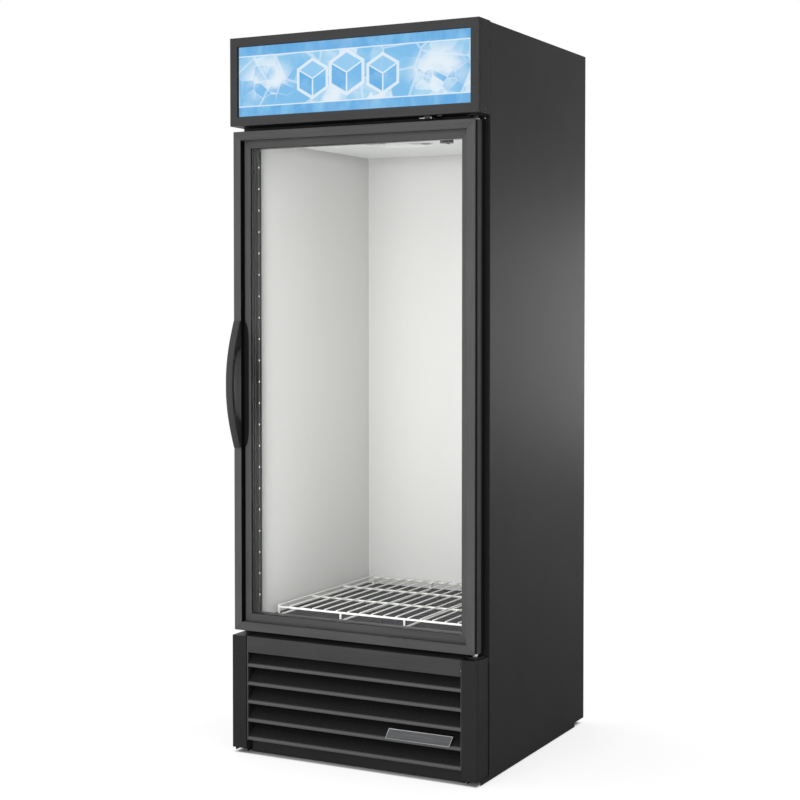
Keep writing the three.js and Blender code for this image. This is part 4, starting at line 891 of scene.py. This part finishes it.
def screw_tree():
    """A domed head with a cross recess on every point, facing along the point's own direction."""
    t = Shaper("screw_heads", {"Dome": 0.5, "Recess Width": 0.2, "Recess Depth": 0.34, "Seed": 7})
    dome, width = t.given("Dome"), t.given("Recess Width")
    ball = t.node("GeometryNodeMeshUVSphere", {}, {"Segments": 16, "Rings": 8, "Radius": 1.0})
    x, y, z = t.parts(t.node("GeometryNodeInputPosition"))
    place = t.vector(x, y, t.most(z, 0.0) ** 0.8 * dome)
    head = t.node("GeometryNodeSetPosition", {}, {"Geometry": ball, "Position": place})
    depth = t.given("Recess Depth") * 2.0
    lift = t.vector(0.0, 0.0, dome)
    bars = [
        t.moved(t.node("GeometryNodeMeshCube", {}, {"Size": t.vector(*sides, depth)}), lift)
        for sides in ((1.15, width), (width, 1.15))
    ]
    return t.close(on_points(t, t.given("Start"), t.cut(head, bars), t.given("Seed")))


def dimple_tree():
    """Presses a cone into a sheet under every loose point that comes with it."""
    t = Shaper("screw_dimples", {"Rim": 1.5, "Floor": 1.15, "Depth": DIMPLE_DEPTH})
    loose = {"Geometry": t.given("Start"), "Selection": t.named("FLOAT", "size") > 0.0}
    points, sheet = [
        t.node("GeometryNodeSeparateGeometry", {}, loose, side)
        for side in ("Selection", "Inverted")
    ]
    depth = t.given("Depth")
    slope = (t.given("Rim") - t.given("Floor")) / depth
    proud = 0.1
    sizes = {
        "Vertices": 16,
        "Radius Top": t.given("Rim") + slope * proud,
        "Radius Bottom": t.given("Floor"),
        "Depth": depth + proud,
    }
    cone = t.node("GeometryNodeMeshCone", {}, sizes)
    sunk = t.moved(cone, t.vector(0.0, 0.0, 0.0 - depth))
    return t.close(t.cut(sheet, [on_points(t, points, sunk)]))


wire_rows = wire_tree()
solid_rows = solid_tree()
wire_rings = ring_tree()
screw_heads = screw_tree()
screw_dimples = dimple_tree()


def row_of(thing, material, count=1, step=ORIGIN):
    """Copies of a solid, each one step further along."""
    return shaped(solid_rows, material, {"Count": count, "Step": step}, thing)


def screw_points(places):
    """Points with the direction that each screw head faces and its radius."""
    mesh = bpy.data.meshes.new("screw_points")
    mesh.from_pydata([screw[0] for screw in places], [], [])
    mesh.attributes.new("facing", "FLOAT_VECTOR", "POINT")
    mesh.attributes.new("size", "FLOAT", "POINT")
    for i, (place, direction, radius) in enumerate(places):
        mesh.attributes["facing"].data[i].vector = direction
        mesh.attributes["size"].data[i].value = radius
    return mesh


# ---- The floor rack: bearers and deck wires welded on bent runners ----
FRAME_WIRE = 3.0 * MM
DECK_WIRE = 2.0 * MM


def floor_rack():
    low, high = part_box("floor_rack")
    side = high.x - FRAME_WIRE
    front = low.y + FRAME_WIRE
    back = high.y - FRAME_WIRE
    foot = low.z + FRAME_WIRE
    deck = high.z - DECK_WIRE
    bearer = deck - DECK_WIRE - FRAME_WIRE * 0.9
    runner = path_mesh(
        [(-side, front, bearer), (-side, front, foot), (-side, back, foot), (-side, back, bearer)]
    )
    runners = {"Count": 4, "Step": (side * 2 / 3, 0.0, 0.0), "Wire Radius": FRAME_WIRE}
    cross = path_mesh([(-high.x, front, bearer), (high.x, front, bearer)])
    bearers = {"Count": 4, "Step": (0.0, (back - front) / 3, 0.0), "Wire Radius": FRAME_WIRE}
    wire = path_mesh([(-side, low.y + MM, deck), (-side, high.y - MM, deck)])
    wires = {"Count": 17, "Step": (side / 8, 0.0, 0.0), "Wire Radius": DECK_WIRE}
    rows = ((runner, runners), (cross, bearers), (wire, wires))
    meshes = [shaped(wire_rows, wire_white, sizes, path) for path, sizes in rows]
    gathered("floor_rack_wires", meshes, "rack", ["floor_rack"])


# ---- Coils: thin fins between two end plates, with the tubes bent round at both ends ----
FIN_HALF = 0.15 * MM
FIN_PITCH = 3.4 * MM
END_PLATE = 1.2 * MM
TUBE_RADIUS = 4.8 * MM


def finned_coil(node, first_fin, last_fin, bends, rows):
    low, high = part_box(node)
    long = last_fin - first_fin
    count = round(long / FIN_PITCH)
    fin = block_mesh((first_fin - FIN_HALF, low.y, low.z), (first_fin + FIN_HALF, high.y, high.z))
    fins = row_of(fin, fin_aluminium, count + 1, (long / count, 0.0, 0.0))
    inner = first_fin - MM
    plate = block_mesh((inner - END_PLATE, low.y, low.z), (inner, high.y, high.z), 0.3 * MM)
    meshes = [fins, row_of(plate, zinc_sheet, 2, (long + 2 * MM + END_PLATE, 0.0, 0.0))]
    pitch = (high.z - low.z) / bends
    half = pitch / 4
    left, right = low.x + TUBE_RADIUS, high.x - TUBE_RADIUS
    sizes = {
        "Count": bends,
        "Step": (0.0, 0.0, pitch),
        "Wire Radius": TUBE_RADIUS,
        "Bend Radius": half * 0.96,
    }
    for row in range(rows):
        y = low.y + (high.y - low.y) / rows * (row + 0.5)
        under, over = low.z + pitch / 2 - half, low.z + pitch / 2 + half
        turns = [(left, y, under), (right, y, under), (right, y, over), (left, y, over)]
        meshes.append(shaped(wire_rows, copper_tube, sizes, path_mesh(turns, closed=True)))
    gathered(node + "_fins", meshes, "cabinet", [node])


# ---- Finer rings in the evaporator's fan guard ----
def guard_rings():
    low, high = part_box("evaporator_fan_blade")
    middle = (low + high) / 2
    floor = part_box("evaporator_cover")[0].z
    sizes = {
        "Count": 10,
        "First Radius": 15.5 * MM,
        "Ring Pitch": 8.5 * MM,
        "Wire Radius": 1.2 * MM,
        "Middle": (middle.x, middle.y, floor + 1.5 * MM),
    }
    rings = shaped(wire_rings, cover_white, sizes)
    gathered("evaporator_guard_rings", [rings], "cabinet")


# ---- Lamp chips along the light strips of the door ----
def lamp_chips():
    meshes = []
    for side in (-1, 1):
        low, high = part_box("door_light_left" if side < 0 else "door_light_right")
        face = high.x if side < 0 else low.x
        middle = (low.y + high.y) / 2
        chip = block_mesh(
            (face - 0.3 * MM, middle - 1.6 * MM, low.z + 20 * MM),
            (face + 0.3 * MM, middle + 1.6 * MM, low.z + 25 * MM),
            0.2 * MM,
        )
        meshes.append(row_of(chip, lamp_chip, 21, (0.0, 0.0, LAMP_PITCH)))
    gathered("door_lamp_chips", meshes, "door")


# ---- The louvred grille: slats of one bent section between cheeks, under the top strip ----
def filleted(points, radius, steps=4):
    """A closed section with its corners rounded."""
    rounded = []
    count = len(points)
    for i, corner in enumerate(points):
        here = Vector(corner)
        before = Vector(points[i - 1]) - here
        after = Vector(points[(i + 1) % count]) - here
        reach = min(radius, before.length * 0.45, after.length * 0.45)
        start = here + before.normalized() * reach
        end = here + after.normalized() * reach
        for step in range(steps + 1):
            t = step / steps
            rounded.append(start * (1 - t) ** 2 + here * 2 * t * (1 - t) + end * t**2)
    return [tuple(point) for point in rounded]


def front_section(points):
    """Millimetres behind the front plane and above the floor, in metres of the frame."""
    return [(FRONT_PLANE + y * MM, z * MM) for y, z in points]


# In mm
LOUVRE_PITCH = 51.5
LOWEST_LIP = 43.0
LIP_HALF = 4.5
LIP_ROUND = 2.5
CHEEK = 2.5
STRIP_BEND = 1.4


def louvred_grille():
    low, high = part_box("louvred_grille")
    bottom = LOWEST_LIP - LIP_HALF
    top = LOWEST_LIP + LIP_HALF
    slat = [(10.8, bottom)]
    for k in range(9):
        turn = math.pi * k / 8
        slat.append((6.5 - LIP_ROUND * math.sin(turn), LOWEST_LIP - LIP_HALF * math.cos(turn)))
    slat += [(44.0, LOWEST_LIP + 40.0), (44.0, LOWEST_LIP + 37.5)]
    slat += [(8.2, top - 2.5), (8.2, bottom + 1.8), (10.8, bottom + 1.8)]
    edge = high.x - 1.2 * MM
    one = section_mesh(front_section(slat), -edge, edge)
    slats = row_of(one, grille_black, 5, (0.0, 0.0, LOUVRE_PITCH * MM))
    strip = [(2.5, 286.0), (2.5, 331.0), (70.0, 331.0), (70.0, 329.4)]
    strip += [(4.1, 329.4), (4.1, 287.6), (12.1, 287.6), (12.1, 286.0)]
    strip = front_section(filleted(strip, STRIP_BEND))
    short = high.x - 3 * MM
    strip = row_of(section_mesh(strip, -short, short), strip_black)
    cheek = block_mesh(
        (low.x, FRONT_PLANE + 3.5 * MM, low.z),
        (low.x + CHEEK * MM, FRONT_PLANE + 48 * MM, high.z - 0.8 * MM),
        0.5 * MM,
    )
    apart = (high.x - low.x - CHEEK * MM, 0.0, 0.0)
    cheeks = row_of(cheek, grille_black, 2, apart)
    gathered(
        "louvred_grille_slats", [slats, strip, cheeks], "cabinet", ["louvred_grille"]
    )


# ---- The bow handle: one outline, rounded over on both sides ----
def cubic(a, b, c, d, steps):
    """Points along a curve between a and d, without the last one."""
    ends = [Vector(p) for p in (a, b, c, d)]
    for step in range(steps):
        t = step / steps
        u = 1 - t
        yield ends[0] * u**3 + ends[1] * 3 * u * u * t + ends[2] * 3 * u * t * t + ends[3] * t**3


def below(point):
    """The same point of the lower half."""
    return point[0], -point[1]


# In mm. The back, face and foot are y from the front plane, so negative in front of it
BOW_REACH = 48.5
BOW_ROUND = 4.0
BOW_BACK = -0.3
BOW_FACE = -2.3
BOW_FOOT = BOW_FACE - 3.0
OPENING_REACH = 38.5
OPENING_HALF = 107.0


def bow_handle():
    low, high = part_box("door_handle")
    steps = 6
    middle = (low.z + high.z) / 2 / MM
    half = (high.z - low.z) / 2 / MM - BOW_ROUND
    bow = BOW_REACH - BOW_ROUND
    crown, end = (-bow, 0), (BOW_FOOT, half)
    crown_pull, end_pull = (-bow * 1.02, half * 0.42), (-bow * 0.55, half * 0.72)
    outline = [Vector((BOW_FACE, -half))]
    outline += cubic(below(end), below(end_pull), below(crown_pull), crown, 26)
    outline += cubic(crown, crown_pull, end_pull, end, 26)
    outline += [Vector(end), Vector((BOW_FACE, half))]
    crown, end = (-OPENING_REACH, 0), (BOW_FACE, OPENING_HALF)
    crown_pull = (-OPENING_REACH, OPENING_HALF * 0.5)
    end_pull = (-OPENING_REACH * 0.78, OPENING_HALF * 0.82)
    outline += cubic(end, end_pull, crown_pull, crown, 18)
    outline += cubic(crown, below(crown_pull), below(end_pull), below(end), 18)
    outline.append(Vector(below(end)))
    count = len(outline)
    outward = []
    for i in range(count):
        along = (outline[(i + 1) % count] - outline[i - 1]).normalized()
        outward.append(Vector((-along.y, along.x)))
    shape = bmesh.new()
    rings = []
    for side, order in ((-1, range(steps + 1)), (1, range(steps, -1, -1))):
        for k in order:
            angle = math.pi / 2 * k / steps
            grow = BOW_ROUND * math.sin(angle)
            inset = BOW_ROUND * (1 - math.cos(angle)) * MM
            x = low.x + inset if side < 0 else high.x - inset
            ring = []
            for point, away in zip(outline, outward):
                spot = point + away * grow
                y = max(min(spot.x, BOW_BACK), -BOW_REACH) * MM + FRONT_PLANE
                ring.append(shape.verts.new((x, y, (spot.y + middle) * MM)))
            rings.append(ring)
    for near, far in zip(rings, rings[1:]):
        for i in range(count):
            j = (i + 1) % count
            shape.faces.new((near[i], near[j], far[j], far[i]))
    shape.faces.new(rings[0])
    shape.faces.new(rings[-1])
    bmesh.ops.remove_doubles(shape, verts=shape.verts, dist=1e-6)
    bmesh.ops.recalc_face_normals(shape, faces=shape.faces)
    # The flat sides take the darker handle material: painted shade.
    for face in shape.faces:
        face.material_index = int(abs(face.normal.x) > SIDE_FACE)
    mesh = mesh_of(shape, "handle", handle_black, handle_side_painted_shade)
    gathered("door_handle_bow", [mesh], "door", ["door_handle"], 50.0)


OUTER_BAND = 24.6 * MM  # of the door frame, with a little clearance
BAND_STEP = 18 * MM  # how far the inner band lies back


def painted_shadow_plate():
    """A thin black plate on the inner band beside the bow, in the outline of the bow's shadow: a
    painted shadow.
    """
    low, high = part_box("door_handle")
    middle = (low.z + high.z) / 2
    half = (high.z - low.z) / 2 - 2 * MM
    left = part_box("door_left_stile")[0].x + OUTER_BAND
    wide, tall = 14 * MM, 52 * MM  # of its rounded corners
    steps = 16
    curve = []
    for k in range(steps + 1):
        turn = math.pi / 2 * k / steps
        curve.append((left + wide * math.sin(turn), half - tall * (1 - math.cos(turn))))
    outline = [(left, -half)] + [(x, -z) for x, z in curve[1:]] + curve[::-1]
    shape = bmesh.new()
    band = FRONT_PLANE + BAND_STEP
    front = band - 1.2 * MM
    face = shape.faces.new([shape.verts.new((x, front, middle + z)) for x, z in outline])
    made = bmesh.ops.extrude_face_region(shape, geom=[face])
    for item in made["geom"]:
        if isinstance(item, bmesh.types.BMVert):
            item.co.y = band - 0.05 * MM
    bmesh.ops.recalc_face_normals(shape, faces=shape.faces)
    mesh = mesh_of(shape, "painted_shadow_plate", handle_side_painted_shade)
    gathered("handle_painted_shadow_plate", [mesh], "door")


# ---- The bare plate on the grille: a sunk field inside a bright rim ----
def badge():
    low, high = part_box("badge_plate")
    slant = 12 * MM
    shape = bmesh.new()
    corners = (
        (low.x, low.z),
        (high.x - slant, low.z),
        (high.x, high.z),
        (low.x + slant, high.z),
    )
    back = shape.faces.new([shape.verts.new((x, high.y, z)) for x, z in corners])
    made = bmesh.ops.extrude_face_region(shape, geom=[back])
    front = [item for item in made["geom"] if isinstance(item, bmesh.types.BMFace)][0]
    for vert in front.verts:
        vert.co.y = low.y
    bmesh.ops.recalc_face_normals(shape, faces=shape.faces)
    soften(shape, list(front.edges), 0.4 * MM)
    front = min(shape.faces, key=lambda f: (round(f.calc_center_median().y, 6), -f.calc_area()))
    bmesh.ops.inset_region(shape, faces=[front], thickness=1.4 * MM)
    bmesh.ops.inset_region(shape, faces=[front], thickness=0.3 * MM, depth=-0.6 * MM)
    front.material_index = 1
    mesh = mesh_of(shape, "badge", badge_rim, badge_field)
    gathered("badge_plate_rimmed", [mesh], "cabinet", ["badge_plate"])


# ---- Screws ----
def screws(name, places, material, dome=0.5):
    heads = shaped(screw_heads, material, {"Dome": dome}, screw_points(places))
    gathered(name, [heads], "cabinet")


def sunk(places):
    """The same screws, standing on the floors of their dimples."""
    return [
        (Vector(place) - Vector(facing) * radius * DIMPLE_DEPTH, facing, radius)
        for place, facing, radius in places
    ]


def visible_screws():
    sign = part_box("sign_bezel")[0].z
    lip = FRONT_PLANE + 6 * MM
    places = [((x, lip, sign), DOWN, 2.6 * MM) for x in (-0.320, 0.090)]
    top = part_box("cabinet_wrap")[1].z
    for x in SCREW_COLUMNS:
        places += [((x, y, top), UP, 3 * MM) for y in (-0.22, 0.07, 0.36)]
    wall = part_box("hinge_bracket_top")[1].y - 4 * MM
    upper, lower = [
        [((x, wall, z), FORWARD, 2.8 * MM) for x in (0.3375, 0.3675)] for z in (1.7445, 0.3405)
    ]
    screws("black_screws", places + lower, screw_black)
    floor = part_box("evaporator_cover")[0].z + MM
    places = [
        ((x, y, floor), DOWN, 3.2 * MM) for x in (-0.286, 0.286) for y in (-0.145, 0.07, 0.285)
    ]
    screws("bright_screws", places + upper, bright_zinc)
    for name, nodes, material, slot in (
        ("flush_black_screws", ("cabinet_wrap", "sign_housing"), screw_black, "black_paint"),
        ("flush_bright_screws", ("back_panel", "rear_vent_cover"), bright_zinc, "zinc_steel"),
    ):
        places = [screw for node in nodes for screw in sunk(FLUSH_SCREWS[node])]
        screws(name, places, material, 0.21)


# ---- Zinc collars round the hinge pins, between the plates and the bushes ----
def hinge_collars():
    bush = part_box("hinge_bush_bottom")
    middle = (bush[0] + bush[1]) / 2
    plate = 3 * MM
    clear = 0.4 * MM
    radius = 8 * MM
    collars = []
    for low, high, material in (
        (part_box("hinge_bracket_bottom")[0].z + plate, bush[0].z, bright_zinc),
        (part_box("hinge_bush_top")[1].z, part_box("hinge_bracket_top")[1].z - plate, screw_black),
    ):
        shape = bmesh.new()
        bmesh.ops.create_cone(
            shape,
            cap_ends=True,
            segments=6,
            radius1=radius,
            radius2=radius,
            depth=high - low - 2 * clear,
            matrix=Matrix.Translation((middle.x, middle.y, (low + high) / 2)),
        )
        soften(shape, shape.edges[:], 0.6 * MM)
        collars.append(mesh_of(shape, "collar", material))
    gathered("hinge_collars", collars, "cabinet")


for material, bevel, nodes, *side_material in FINISHES:
    for node in nodes.split():
        finished(node, material, bevel * MM, *side_material)

PLAIN = {"insulation_foam": foam_yellow, "sign_lens": sign_ice}
for node, material in PLAIN.items():
    mesh = frame["nodes"][node].data
    mesh.materials.clear()
    mesh.materials.append(material)

PANES = {
    "door_glass_outer": pane_outer,
    "door_glass_middle": pane_inner,
    "door_glass_inner": pane_inner,
}
for node, material in PANES.items():
    pane = finished(node, material)
    pane.visible_shadow = False  # soft light comes through three clear panes as through one
    pane.visible_diffuse = False

floor_rack()
finned_coil("condenser_coil", -0.258, 0.068, bends=4, rows=2)
finned_coil("evaporator_coil", -0.213, 0.213, bends=3, rows=3)
guard_rings()
lamp_chips()
louvred_grille()
bow_handle()
painted_shadow_plate()
badge()
visible_screws()
hinge_collars()


# ---- Floor, light and camera ----
FOOT_MIDDLE = 0.0243  # y of the middle of the body's footprint
FOOT_HALF_DEPTH = 0.3795
FLOOR_HALF = 9.0
FLOOR_DROP = 0.2 * MM  # so that the feet don't share its plane


def studio_floor():
    f = Finish("studio_floor")
    rays = f.seen()
    camera = f.node("ShaderNodeLightPath", output="Is Camera Ray")
    x, y = f.parts(f.place)[:2]
    far = f.ease((x * x + y * y) ** 0.5, 1.6, 3.4)
    plain = f.node("ShaderNodeBsdfDiffuse", {}, {"Color": grey(0.80)})
    reach = f.most(abs(x) / HALF_WIDTH, abs(y - FOOT_MIDDLE) / FOOT_HALF_DEPTH)
    clear = f.ease(reach, 0.96, 1.0)  # no lift under the freezer, where it is dark
    lift, white = [
        f.node("ShaderNodeEmission", {}, {"Color": grey(1.0), "Strength": strength})
        for strength in ((rays * 0.15 + camera * 0.52) * clear, 1.0)
    ]
    lit = f.node("ShaderNodeAddShader", {}, {0: plain, 1: lift})
    mixed = f.node("ShaderNodeMixShader", {}, {0: far * rays, 1: lit, 2: white})
    f.node("ShaderNodeOutputMaterial", {}, {"Surface": mixed})
    shape = bmesh.new()
    bmesh.ops.create_grid(shape, x_segments=1, y_segments=1, size=FLOOR_HALF)
    floor = placed("studio_floor", mesh_of(shape, "studio_floor", f.material))
    floor.location.z = -FLOOR_DROP


def studio_world():
    world = bpy.data.worlds.new("studio")
    bpy.context.scene.world = world
    world.use_nodes = True
    w = Tree(world.node_tree)
    direction = w.node("ShaderNodeTexCoord", output="Generated")
    x, y, z = w.parts(direction)
    facing = w.ease(y * -0.85 + x * -0.5 + z * 0.12, -0.4, 1.0)
    level = facing * 0.4 + 0.27
    seen = w.seen()
    strength = seen + (1.0 - seen) * level
    shader = w.node("ShaderNodeBackground", {}, {"Color": grey(1.0), "Strength": strength})
    w.node("ShaderNodeOutputWorld", {}, {"Surface": shader})


def soft_light(name, place, aim, size, power, spread=180.0, mirrored=True):
    """An area lamp. Where it isn't mirrored, the glass shows the plain background instead."""
    data = bpy.data.lights.new(name, "AREA")
    data.shape = "RECTANGLE"
    data.size, data.size_y = size
    data.energy = power
    data.spread = math.radians(spread)
    light = placed(name, data)
    light.location = place
    light.rotation_euler = (Vector(aim) - Vector(place)).to_track_quat("-Z", "Y").to_euler()
    light.visible_glossy = mirrored


studio_floor()
studio_world()
soft_light("key", (-0.3, -4.4, 1.15), (0.0, -0.3, 1.12), (1.9, 1.2), 9.0, 70.0, mirrored=False)
soft_light("front_fill", (1.5, -4.6, 1.1), (0.0, -0.3, 1.0), (1.4, 1.4), 14, mirrored=False)
soft_light("side_strip", (1.2, 3.6, 1.12), (0.38, 0.4, 1.1), (0.4, 1.1), 21)
soft_light("inside", (0.0, -0.282, 1.02), (0.0, 0.3, 1.02), (0.58, 1.30), 3.4)

camera = placed("camera", bpy.data.cameras.new("camera"))
camera.data.lens = 73.08
camera.data.shift_y = -0.0625
camera.location = (2.1343, -4.1622, 1.2603)
camera.rotation_euler = (math.pi / 2 - 0.0285, 0.0, 0.4799)
bpy.context.scene.camera = camera
bpy.context.scene.view_settings.view_transform = "Standard"
